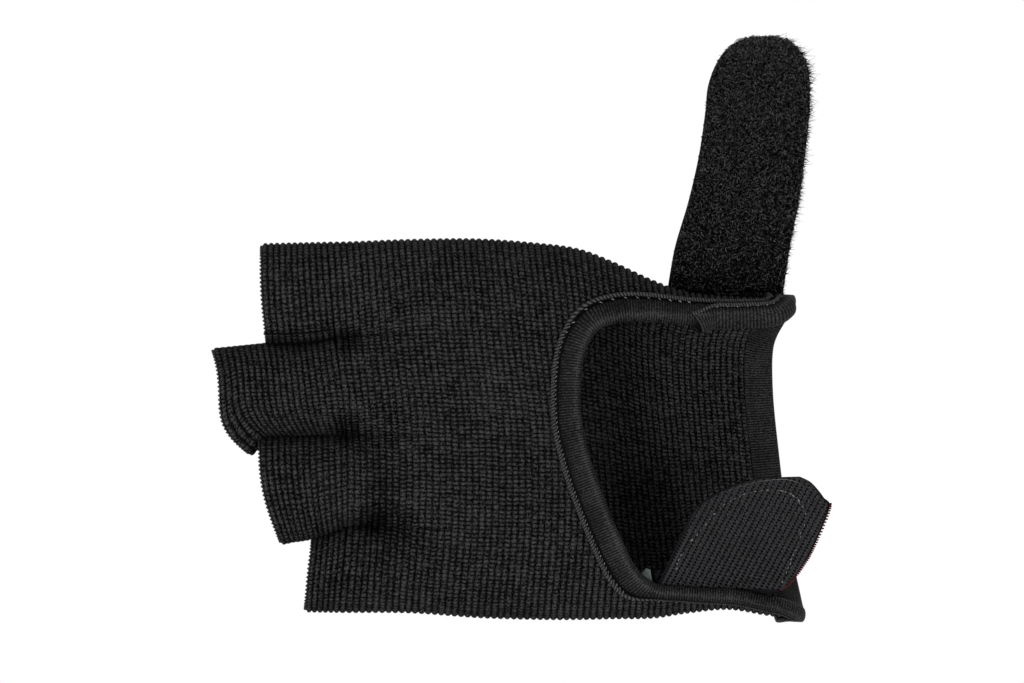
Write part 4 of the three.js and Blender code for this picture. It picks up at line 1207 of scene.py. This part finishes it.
def stitches_beside(line, depth, height, reach, stitch, rng):
    """Short slanting threads along a line: each rises from the tape in a parabola and comes down again."""
    every = max(1, int(round(stitch.pitch / line.step)))
    chosen = np.arange(len(line.x)) % every == 0
    depth, reach = (np.broadcast_to(value, len(line.x))[chosen] for value in (depth, reach))
    some = stretch_of(line, chosen)
    root = beside_line(some, depth[:, None], np.array([[height]]), reach)
    slant = rng.uniform(*STITCH_SLANTS, (len(root), 1, 1)) * stitch.slant
    ahead = some.tangent[:, None] * stitch.length * STITCH_SHARES
    paths = root + ahead + some.into[:, None] * slant * STITCH_SHARES
    paths = paths + some.normal[:, None] * stitch.lift * STITCH_BOW
    return threads(paths, some.normal, stitch.radius, STITCH_SIDES, rng.uniform(0, 1, len(root)))


def strap_point(z, u, margin=0.0):
    """The strap's middle surface: between its two edges at each height, on the cuff while it is sewn down and
    at its own Y where it stands free."""
    z, u = np.broadcast_arrays(np.asarray(z, float), u)
    left = curve(STRAP, "z", "left", z) + margin
    right = curve(STRAP, "z", "right", z) - margin
    x = lerp(left, right, u)
    over_knit = WALL / 2 + GAP + STRAP_BASE / 2
    fold = np.clip((x - HEM_FOLD[0]) / (HEM_FOLD[1] - HEM_FOLD[0]), 0, 1)
    sewn = beside_skin(x, z, 1, over_knit + fold * (BINDING_TAPE + FOLD_GAP))[..., 1]
    free = curve(STRAP, "z", "free", z)
    return np.stack([x, np.maximum(sewn, lerp(sewn, curve(STRAP, "z", "y", z), free)), z], axis=-1)


def strap_grid(from_z, rows, columns, margin=0.0):
    """Points of the strap from a height up to its tip, closer together near the tip, and facing the back."""
    share = np.linspace(0, 1, rows) ** TIP_CROWDING
    z = lerp(from_z, STRAP["z"][-1] - margin, share)[:, None]
    return strap_point(z, np.linspace(1, 0, columns)[None], margin)


def ribbon(points, thickness):
    """A woven tape over a grid of points, with rounded edges. Its UV are the distances down the grid's columns
    and along its rows."""
    half = thickness / 2 * rounding(edge_distance(points) + EDGE_LEFT, thickness / 2)
    return slab(points, grid_uv(points), -half, half)


def grid_uv(points):
    """Distances along a grid's columns and rows."""
    down = np.swapaxes(along_rows(np.swapaxes(points, 0, 1)), 0, 1)
    return np.stack([down, along_rows(points)], axis=-1)


def loop_strands(points, normals, count, height, rng):
    """Strands of the pile: each rises from the tape, arches over in half a sine and comes down, curling its
    own way."""
    chosen = rng.choice(len(points), count, replace=count > len(points))
    turn = rng.uniform(0, 2 * np.pi, count)
    normal = normals[chosen]
    first = unit(np.cross(normal, np.array([0.0, 0.0, 1.0])))
    second = np.cross(normal, first)
    way = first * np.cos(turn)[:, None] + second * np.sin(turn)[:, None]
    side = np.cross(normal, way)
    t = np.linspace(0, 1, STRAND["stations"])[None, :, None]
    arch = np.sin(np.pi * t)
    limits = (STRAND[name] for name in ("span", "rise", "curl"))
    span, rise, curl = (rng.uniform(low, high, count)[:, None, None] for low, high in limits)
    root = points[chosen] + rng.uniform(-STRAND["scatter"], STRAND["scatter"], (count, 3))
    paths = root[:, None] + way[:, None] * span * (t - 0.5) + side[:, None] * curl * arch
    paths = paths + normal[:, None] * (height * (STRAND["foot"] + rise * arch))
    radius = rng.uniform(*STRAND["radius"], (count, 1))
    return threads(paths, normal, radius, STRAND_SIDES, rng.uniform(0, 1, count))


def edge_hairs(edge, outward_way, count, rng):
    """Loose hairs off an edge, longer towards its last place: each leaves it outwards and bends its own way."""
    chosen = rng.integers(0, len(edge), count)
    t = np.linspace(0, 1, HAIR["stations"])[None, :, None]
    longer = (HAIR["grow"] + HAIR["grow"] * chosen / len(edge))[:, None, None]
    reach = rng.uniform(*HAIR["length"], (count, 1, 1)) * rng.uniform(*HAIR["share"], (count, 1, 1)) * longer
    bend = rng.normal(0, HAIR["bend"], (count, 1, 3))
    way = outward_way[chosen][:, None]
    root = edge[chosen][:, None] + rng.uniform(-HAIR["scatter"], HAIR["scatter"], (count, 1, 3))
    paths = root + reach * t * (way + bend * t)
    radius = HAIR["radius"] * (HAIR["taper"] - t[0, :, 0])
    return threads(paths, np.tile(FRONT, (count, 1)), radius, STRAND_SIDES, rng.uniform(0, 1, count))


def tape_point(rows, row, u, inset, margin=0.0):
    """The middle surface of a tape inside the wing: rows of left and right ends, at a distance inside the
    skin."""
    row, u = np.broadcast_arrays(np.asarray(row, float), u)
    left_x, left_z, right_x, right_z = (curve(rows, "row", name, row) for name in rows if name != "row")
    x = lerp(left_x + margin, right_x - margin, u)
    z = lerp(left_z, right_z, u)
    point = beside_skin(x, z, -1, -inset(z))
    point[..., 2] = z
    return point


def tape_grid(rows, first, last, counts, inset, margin=0.0):
    """Points of such a tape from one of its rows to another, facing the back of the hand."""
    row, u = np.linspace(first, last, counts[0])[:, None], np.linspace(1, 0, counts[1])
    return tape_point(rows, row, u, inset, margin)


def label_inset(z):
    """How far inside the skin the label and the stub lie."""
    return np.full_like(z, LABEL_INSET)


def tab_inset(z):
    """How far inside the skin the tab lies: less towards its tip."""
    sewn, tip = TAB["left_z"][1], TAB["left_z"][-1]
    return lerp(TAB_INSET, TAB_TIP_INSET, np.clip((z - sewn) / (tip - sewn), 0, 1))


def tab_place(x, z):
    """Where a place of the tab is along its cords and across them, both in millimetres. The cords run straight
    from the sewn end to the tip, as the side edges do."""
    lean = np.radians(HOOK_LEAN)
    return x * np.cos(lean) + z * np.sin(lean), x * np.sin(lean) - z * np.cos(lean)


def tab_hooks(sizes, rng):
    """Hooks in staggered rows along the tab: each rises and bends over along its cord, in part of a circle."""
    cos, sin = np.cos(np.radians(HOOK_LEAN)), np.sin(np.radians(HOOK_LEAN))
    along, across = (np.arange(*limits, step) for limits, step in zip(HOOK_FIELD, (HOOK_STEP, HOOK_CORD)))
    along, across = np.meshgrid(along, across, indexing="ij")
    along = along + HOOK_STEP / 2 * (np.round(across / HOOK_CORD) % 2)
    x, z = (along * cos + across * sin).ravel(), (along * sin - across * cos).ravel()
    middle_z = (TAB["left_z"] + TAB["right_z"]) / 2
    row = np.interp(z, middle_z, TAB["row"])
    left, right = (np.interp(row, TAB["row"], TAB[name]) for name in ("left_x", "right_x"))
    margin, step = HOOK["margin"], HOOK["step"]
    keep = (z > middle_z[1]) & (z < middle_z[-1] - margin) & (x > left + margin) & (x < right - margin)
    x, z = x[keep], z[keep]
    steps = (0, 0), (step * cos, step * sin), (step * sin, -step * cos)
    here, ahead, beside = (beside_skin(x + dx, z + dz, -1, -tab_inset(z + dz)) for dx, dz in steps)
    way, side = unit(ahead - here), unit(beside - here)
    up = facing_front(unit(np.cross(way, side)))
    turn = np.linspace(0, HOOK["turn"] * np.pi, HOOK["stations"])[None, :, None]
    bend = np.where(rng.uniform(size=len(here)) < 0.5, -HOOK["bend"], HOOK["bend"])[:, None, None]
    height = sizes.hook_height / MM * rng.uniform(*HOOK["height"], (len(here), 1, 1))
    scatter = side * rng.uniform(-HOOK["scatter"], HOOK["scatter"], (len(here), 1))
    foot = here + up * (TAB_BASE / 2 + HOOK["foot"]) + scatter
    paths = foot[:, None] + up[:, None] * height * np.sin(turn) + way[:, None] * bend * (1 - np.cos(turn))
    return threads(paths, side, HOOK["radius"], HOOK_SIDES, rng.uniform(0, 1, len(here)))


def tab_stitches(rng):
    """Stitches of the tab's seam: most are sunk between the hooks, and only some stand out and catch the light.
    Each bows up in a parabola."""
    place = np.linspace(0, TAB_SEAM["place"][-1], TAB_STITCH["count"])
    x, z = (curve(TAB_SEAM, "place", column, place) for column in ("x", "z"))
    height = TAB_BASE / 2 + HOOK_FACE + rng.uniform(*TAB_STITCH["height"], len(place))
    x = x + rng.uniform(-TAB_STITCH["scatter"], TAB_STITCH["scatter"], len(x))
    points = beside_skin(x, z, -1, -tab_inset(z)) + FRONT * height[:, None]
    step = unit(np.gradient(points, axis=0)) * rng.uniform(*TAB_STITCH["length"], (len(x), 1))
    paths = points[:, None] + step[:, None] * STITCH_SHARES + FRONT * TAB_STITCH["lift"] * STITCH_BOW
    up = np.tile(FRONT, (len(paths), 1))
    return threads(paths, up, TAB_STITCH["radius"], STITCH_SIDES, rng.uniform(0, 1, len(paths)))


def tip_edge_highlight():
    """A light thread just inside the tab's tip, along a row near its end: a painted highlight that stands in for
    the lit edge of the hook face there.
    """
    u = np.linspace(*TIP_EDGE_HIGHLIGHT["u"], TIP_EDGE_HIGHLIGHT["stations"])
    row = TIP_EDGE_HIGHLIGHT["row"] - TIP_EDGE_HIGHLIGHT["drop"] * np.abs(2 * u - 1) ** 3
    points = tape_point(TAB, row, u, tab_inset) + FRONT * (TAB_BASE / 2 + HOOK_FACE - TIP_EDGE_HIGHLIGHT["sink"])
    return threads(points[None], FRONT[None], TIP_EDGE_HIGHLIGHT["radius"], STITCH_SIDES, np.array([0.1]))


def edge_whipping(rng):
    """Thread whipped round the tab's right edge: half circles from its face round the edge to its back."""
    row = np.linspace(*WHIPPING["rows"], WHIPPING["count"])
    points, past = (tape_point(TAB, row, np.full_like(row, u), tab_inset) for u in (1, WHIPPING["past"]))
    way = unit(past - points)[:, None]
    start, end = WHIPPING["turn"]
    turn = np.linspace(start * np.pi, end * np.pi, WHIPPING["stations"])[None, :, None]
    out = rng.uniform(*WHIPPING["out"], (len(row), 1, 1))
    paths = points[:, None] - way * WHIPPING["inside"] + way * out * np.cos(turn)
    paths = paths - FRONT * (TAB_BASE / 2 + WHIPPING["over"]) * np.sin(turn)
    up = unit(np.gradient(points, axis=0))
    return threads(paths, up, WHIPPING["radius"], THREAD_SIDES, rng.uniform(0, 1, len(row)))


# User interface


def length(name, description, default):
    """A length property in metres."""
    return bpy.props.FloatProperty(
        name=name, description=description, default=default, min=0.0, precision=5,
        unit="LENGTH", subtype="DISTANCE",
    )


def tint(name, description, default):
    """A colour property."""
    return bpy.props.FloatVectorProperty(
        name=name, description=description, default=default, size=3, min=0.0, max=1.0, subtype="COLOR"
    )


class GloveSizes(bpy.types.PropertyGroup):
    """Sizes of the glove's finer parts"""

    rib_depth: length("Rib depth", "Height of a knitted rib over the groove beside it", 0.0005)
    bead_pitch: length("Bead pitch", "Spacing of the yarn's bumps along a rib", 0.00103)
    binding_rib: length("Binding rib", "Spacing of the fine ribs across the binding", 0.00062)
    cord_radius: length("Cord radius", "Radius of the binding's rolled edge", 0.00052)
    pile_height: length("Pile height", "Height of the tallest loops over the strap's ground", 0.0012)
    hook_height: length("Hook height", "Height of the hooks over their ground", 0.0008)
    pile_strands: bpy.props.IntProperty(
        name="Pile strands", description="Number of strands in the strap's pile",
        default=9400, min=0, max=9800,
    )
    edge_hairs: bpy.props.IntProperty(
        name="Edge hairs", description="Number of loose hairs off the strap's edge",
        default=1100, min=0, max=4000,
    )


class GloveColours(bpy.types.PropertyGroup):
    """Colours of the glove and of its stage"""

    knit: tint("Knit", "Colour of the ribbed knit", (0.0123, 0.0121, 0.0126))
    binding: tint("Binding", "Colour of the folded tape", (0.0182, 0.0179, 0.0186))
    webbing: tint("Webbing", "Colour of the strap's and the tab's woven backing", (0.0085, 0.0085, 0.0105))
    pile: tint("Pile", "Colour of the strap's loops", (0.0083, 0.0082, 0.0085))
    hooks: tint("Hooks", "Colour of the hook tape", (0.0117, 0.0115, 0.0125))
    # The sewing thread is light grey as a painted highlight: the grey stands in for the glints of a dark thread.
    stitch: tint("Stitch", "Colour of the sewing thread", (0.13, 0.13, 0.13))
    edge_thread: tint("Edge thread", "Colour of the thread along the tab's right edge", (0.027, 0.0035, 0.005))
    label: tint("Label", "Colour of the label's ribbon", (0.11, 0.13, 0.125))
    floor: tint("Floor", "Colour of the floor", (0.92, 0.92, 0.92))


class GloveKnit(bpy.types.Operator):
    """Add the ribbed knit with its four stalls and thumb hole"""

    bl_idname = "glove.knit"
    bl_label = "Knit"

    def execute(self, context):
        sizes, colours = context.scene.glove_sizes, context.scene.glove_colours
        add_piece("knit", knit_mesh(sizes), knit_material(colours, sizes), ["knit_shell"])
        seams = joined(*(stall_seam(within, sizes) for within in SEAM["places"]))
        thread = strand_material("seam_thread", shade(colours.knit, 0.05), 0.8, 1.5)
        add_piece("stall_seams", seams, thread)
        for finger, shares in zip(FINGERS, MOUTH_TINTS):
            colour = tuple(part * share for part, share in zip(colours.knit, shares))
            edge = cord_material(f"cast_off_edge_{finger}", colour, MOUTH_BEAD, 0)
            add_piece(f"mouth_edge_{finger}", mouth_edge(finger), edge)
        return {"FINISHED"}


class GloveBinding(bpy.types.Operator):
    """Add the folded tapes round the wrist opening and the thumb hole, with their rolled edges and stitches"""

    bl_idname = "glove.binding"
    bl_label = "Binding"

    def execute(self, context):
        sizes, colours = context.scene.glove_sizes, context.scene.glove_colours
        rng = np.random.default_rng(SEED)
        rib = sizes.binding_rib / MM
        tape = tape_material(colours, "binding_tape", rib, BINDING_LEG)
        thumb_tape = tape_material(colours, "thumb_tape_ribs", rib, THUMB_LEG)
        wide_tape = tape_material(colours, "lap_ribs", LAP["rib"], LAP["reach"])
        roll = cord_material("rolled_edge", colours.binding, **ROLL)
        # Painted highlight: the stitches' light grey stands in for the glints they catch.
        thread = strand_material("sewing_thread", shade(colours.stitch, 0.65), 0.4, 2.2)
        inner = WALL / 2 + FOLD_GAP
        outer = inner + BINDING_TAPE
        radius = sizes.cord_radius / MM
        # The lap follows the line's first third, where the line starts at the top of the opening
        first = np.arange(len(WRIST_LINE.x)) < len(WRIST_LINE.x) // 3
        under_lap = (WRIST_LINE.x > LAP["from_x"]) & first
        lap = stretch_of(WRIST_LINE, under_lap)
        lap_height = outer + GAP + LAP["tape"]
        reach, _, _ = lap_shape(lap)
        wing = wing_share(WRIST_LINE)
        top_run = on_top_run(WRIST_LINE)
        covered = soft_step((WRIST_LINE.x - LAP["from_x"]) / LAP["slide"]) * top_run
        leg = lerp(lerp(BINDING_LEG, UNDER_LAP_LEG, covered), WING["leg"], wing)
        roll_radius = radius * lerp(1, WING["cord"], wing)

        wrist = folded_tape(WRIST_LINE, leg, FOLD_GAP, inner, outer)
        add_piece("wrist_tape", wrist, tape, ["wrist_binding"])
        thumb = folded_tape(THUMB_LINE, THUMB_LEG, FOLD_GAP, inner, outer)
        add_piece("thumb_tape", thumb, thumb_tape, ["thumb_binding"])
        add_piece("lap_tape", lap_tape(lap), wide_tape, ["binding_lap"])
        thumb_height, thumb_radius = outer - THUMB_ROLL["sink"], radius * THUMB_ROLL["radius"]
        cords = joined(
            rolled_cord(WRIST_LINE, leg - CORD_OUT, outer, roll_radius, leg),
            rolled_cord(THUMB_LINE, THUMB_LEG - CORD_OUT, thumb_height, thumb_radius, THUMB_LEG),
        )
        add_piece("rolled_edges", cords, roll)
        edge = rolled_cord(lap, reach - CORD_OUT, lap_height, radius, reach, closed=False)
        add_piece("lap_rolled_edge", edge, roll)
        is_top = (top_run > 0.5) & ~under_lap
        top, sewn = (stretch_of(WRIST_LINE, keep) for keep in (is_top, ~is_top & ~under_lap & (wing < 0.3)))
        # Each row of stitches has its place as a share of the tape's reach, and sinks a little into the tape
        rows = (
            (sewn, BINDING_LEG, 0.87, outer - 0.3, CLOSE_STITCH),
            (top, BINDING_LEG, 0.81, outer - 0.25, WIDE_STITCH),
            (THUMB_LINE, THUMB_LEG, 0.82, outer - 0.3, CLOSE_STITCH),
            (lap, reach, 0.78, lap_height - 0.2, WIDE_STITCH),
        )
        stitches = joined(*(
            stitches_beside(line, leg * share, height, leg, stitch, rng)
            for line, leg, share, height, stitch in rows
        ))
        add_piece("binding_stitches", stitches, thread)
        return {"FINISHED"}


class GloveStrap(bpy.types.Operator):
    """Add the loop-faced strap: woven backing, pile, strands and loose hairs"""

    bl_idname = "glove.strap"
    bl_label = "Loop strap"

    def execute(self, context):
        sizes, colours = context.scene.glove_sizes, context.scene.glove_colours
        rng = np.random.default_rng(SEED + 1)
        backing = ribbon(strap_grid(STRAP["z"][0], *STRAP_GRID), STRAP_BASE)
        add_piece("strap_backing_tape", backing, webbing_material(colours), ["strap_backing"])

        points = strap_grid(PILE_FROM_Z, *PILE_GRID, PILE["margin"])
        near = rounding(edge_distance(points) + SOFT_EDGE_LEFT, PILE["round"])
        ground = STRAP_BASE / 2 + PILE["lift"]
        rough = rng.uniform(-PILE["rough"], PILE["rough"], PILE_GRID)
        high = ground + PILE["least"] + near * (PILE["thick"] + rough)
        pile = slab(points, grid_uv(points), ground, high)
        # Painted shade: the loops' ground is black like the strands, and is kept far darker than them for the
        # shade among the strands.
        base = pile_material(colours, "loop_ground", 0.05, 0.9)
        add_piece("strap_pile", pile, base, ["strap_loop_pile"])

        flat = points.reshape(-1, 3)
        normals = normals_at(flat, grid_faces(*PILE_GRID))
        root = flat + normals * (ground + PILE["root"] * near.reshape(-1, 1))
        strands = loop_strands(root, normals, sizes.pile_strands, sizes.pile_height / MM, rng)
        add_piece("strap_strands", strands, pile_material(colours, "loop_strands", 0.05, 15.5))

        edge = points[:, 0] + normals.reshape(points.shape)[:, 0] * (ground + HAIR["lift"])
        out = unit(points[:, 0] - points[:, HAIR["from_column"]])
        hairs = edge_hairs(edge, out, sizes.edge_hairs, rng)
        add_piece("strap_hairs", hairs, pile_material(colours, "loose_hairs", 0.2, 1.6))
        return {"FINISHED"}


class GloveTab(bpy.types.Operator):
    """Add the hook-faced tab: backing, ground, hooks, stitches and edge thread"""

    bl_idname = "glove.tab"
    bl_label = "Hook tab"

    def execute(self, context):
        sizes, colours = context.scene.glove_sizes, context.scene.glove_colours
        rng = np.random.default_rng(SEED + 2)
        last = TAB["row"][-1]
        backing = ribbon(tape_grid(TAB, 0, last, TAB_GRID, tab_inset), TAB_BASE)
        add_piece("tab_backing_tape", backing, webbing_material(colours), ["tab_backing"])

        first, last = HOOK_GROUND["from_row"], last - HOOK_GROUND["tip"]
        points = tape_grid(TAB, first, last, HOOK_GRID, tab_inset, HOOK_GROUND["margin"])
        low = TAB_BASE / 2 + HOOK_GROUND["lift"]
        near = rounding(edge_distance(points) + EDGE_LEFT, HOOK_GROUND["round"])
        uv = np.stack(tab_place(points[..., 0], points[..., 2]), axis=-1)
        ground = slab(points, uv, low, low + HOOK_GROUND["thick"] * near)
        add_piece("hook_ground", ground, hook_base_material(colours), ["tab_hook_face"])
        hooks = tab_hooks(sizes, rng)
        add_piece("hooks", hooks, strand_material("hook_plastic", colours.hooks, 0.45, 2.8))
        stitches = joined(tab_stitches(rng), tip_edge_highlight())
        # Painted highlight: the stitches' light grey stands in for the glints they catch.
        thread = strand_material("tab_thread", shade(colours.stitch, 0.45), 0.35, 3.0)
        add_piece("tab_stitches", stitches, thread)
        whipping = strand_material("edge_thread", colours.edge_thread, 0.6, 2.0)
        add_piece("tab_edge_thread", edge_whipping(rng), whipping)
        return {"FINISHED"}


class GloveLabel(bpy.types.Operator):
    """Add the corner of the blank woven label beside the tab, and the black stub of tape next to it"""

    bl_idname = "glove.label"
    bl_label = "Label"

    def execute(self, context):
        colours = context.scene.glove_colours
        label, stub = (
            ribbon(tape_grid(rows, 0, rows["row"][-1], counts, label_inset), LABEL_THICKNESS)
            for rows, counts in ((LABEL, LABEL_GRID), (STUB, STUB_GRID))
        )
        add_piece("label_ribbon", label, label_material(colours), ["inner_label"])
        add_piece("label_stub", stub, webbing_material(colours))
        return {"FINISHED"}


class GloveStage(bpy.types.Operator):
    """Add the floor, the studio lights and the camera"""

    bl_idname = "glove.stage"
    bl_label = "Stage"

    def execute(self, context):
        scene = context.scene
        mesh = bpy.data.meshes.new("floor")
        corners = [(x * FLOOR_HALF * MM, y * FLOOR_HALF * MM, FLOOR_Z * MM) for x, y in FLOOR_CORNERS]
        mesh.from_pydata(corners, [], [(0, 1, 2, 3)])
        finish = Finish("floor_paper", roughness=0.95)
        pale = scene.glove_colours.floor
        paper = finish.finished(finish.noise(30.0, 3.0), pale, 0.985, 1, finish.noise(2.0), 0.02)
        mesh.materials.append(paper)
        floor = bpy.data.objects.new("floor", mesh)
        scene.collection.objects.link(floor)

        for name, place, power, size in LIGHTS:
            light = bpy.data.lights.new(name, "AREA")
            light.energy = power
            light.size = size
            lamp = bpy.data.objects.new(name, light)
            lamp.location = np.array(place) * MM
            way = Vector(place) - Vector(LIT_PLACE)
            lamp.rotation_euler = way.to_track_quat("Z", "Y").to_euler()
            scene.collection.objects.link(lamp)
        world = bpy.data.worlds.new("studio")
        world.use_nodes = True
        background = world.node_tree.nodes["Background"]
        background.inputs["Color"].default_value = (1, 1, 1, 1)
        background.inputs["Strength"].default_value = WORLD_STRENGTH
        scene.world = world
        scene.view_settings.view_transform = "Standard"

        camera = bpy.data.objects.new("camera", bpy.data.cameras.new("camera"))
        camera.data.sensor_width = SENSOR
        camera.data.lens = SENSOR * CAMERA_DISTANCE / (IMAGE[0] * MM_A_PIXEL)
        camera.data.clip_end = CAMERA_REACH
        x = (IMAGE[0] / 2 - ORIGIN_PIXEL[0]) * MM_A_PIXEL
        z = (ORIGIN_PIXEL[1] - IMAGE[1] / 2) * MM_A_PIXEL
        camera.location = (x * MM, -CAMERA_DISTANCE * MM, z * MM)
        camera.rotation_euler = (np.pi / 2, 0, 0)
        scene.collection.objects.link(camera)
        scene.camera = camera
        return {"FINISHED"}


PIECES = (GloveKnit, GloveBinding, GloveStrap, GloveTab, GloveLabel, GloveStage)


class GlovePanel(bpy.types.Panel):
    """Sizes, colours and pieces of the glove"""

    bl_idname = "VIEW3D_PT_glove"
    bl_label = "Fitness Glove"
    bl_space_type = "VIEW_3D"
    bl_region_type = "UI"
    bl_category = "Glove"

    def draw(self, context):
        layout = self.layout
        for group in (context.scene.glove_sizes, context.scene.glove_colours):
            column = layout.column()
            for name in group.__annotations__:
                column.prop(group, name)
        for piece in PIECES:
            layout.operator(piece.bl_idname)


CLASSES = (GloveSizes, GloveColours, *PIECES, GlovePanel)


def register():
    """Registers the classes and hangs the sizes and colours on the scene."""
    for made in CLASSES:
        bpy.utils.register_class(made)
    bpy.types.Scene.glove_sizes = bpy.props.PointerProperty(type=GloveSizes)
    bpy.types.Scene.glove_colours = bpy.props.PointerProperty(type=GloveColours)


def unregister():
    """Takes away what register added."""
    del bpy.types.Scene.glove_colours
    del bpy.types.Scene.glove_sizes
    for made in reversed(CLASSES):
        bpy.utils.unregister_class(made)


def main():
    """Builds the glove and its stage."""
    register()
    bpy.ops.glove.knit()
    bpy.ops.glove.binding()
    bpy.ops.glove.strap()
    bpy.ops.glove.tab()
    bpy.ops.glove.label()
    bpy.ops.glove.stage()


if __name__ == "__main__":
    main()
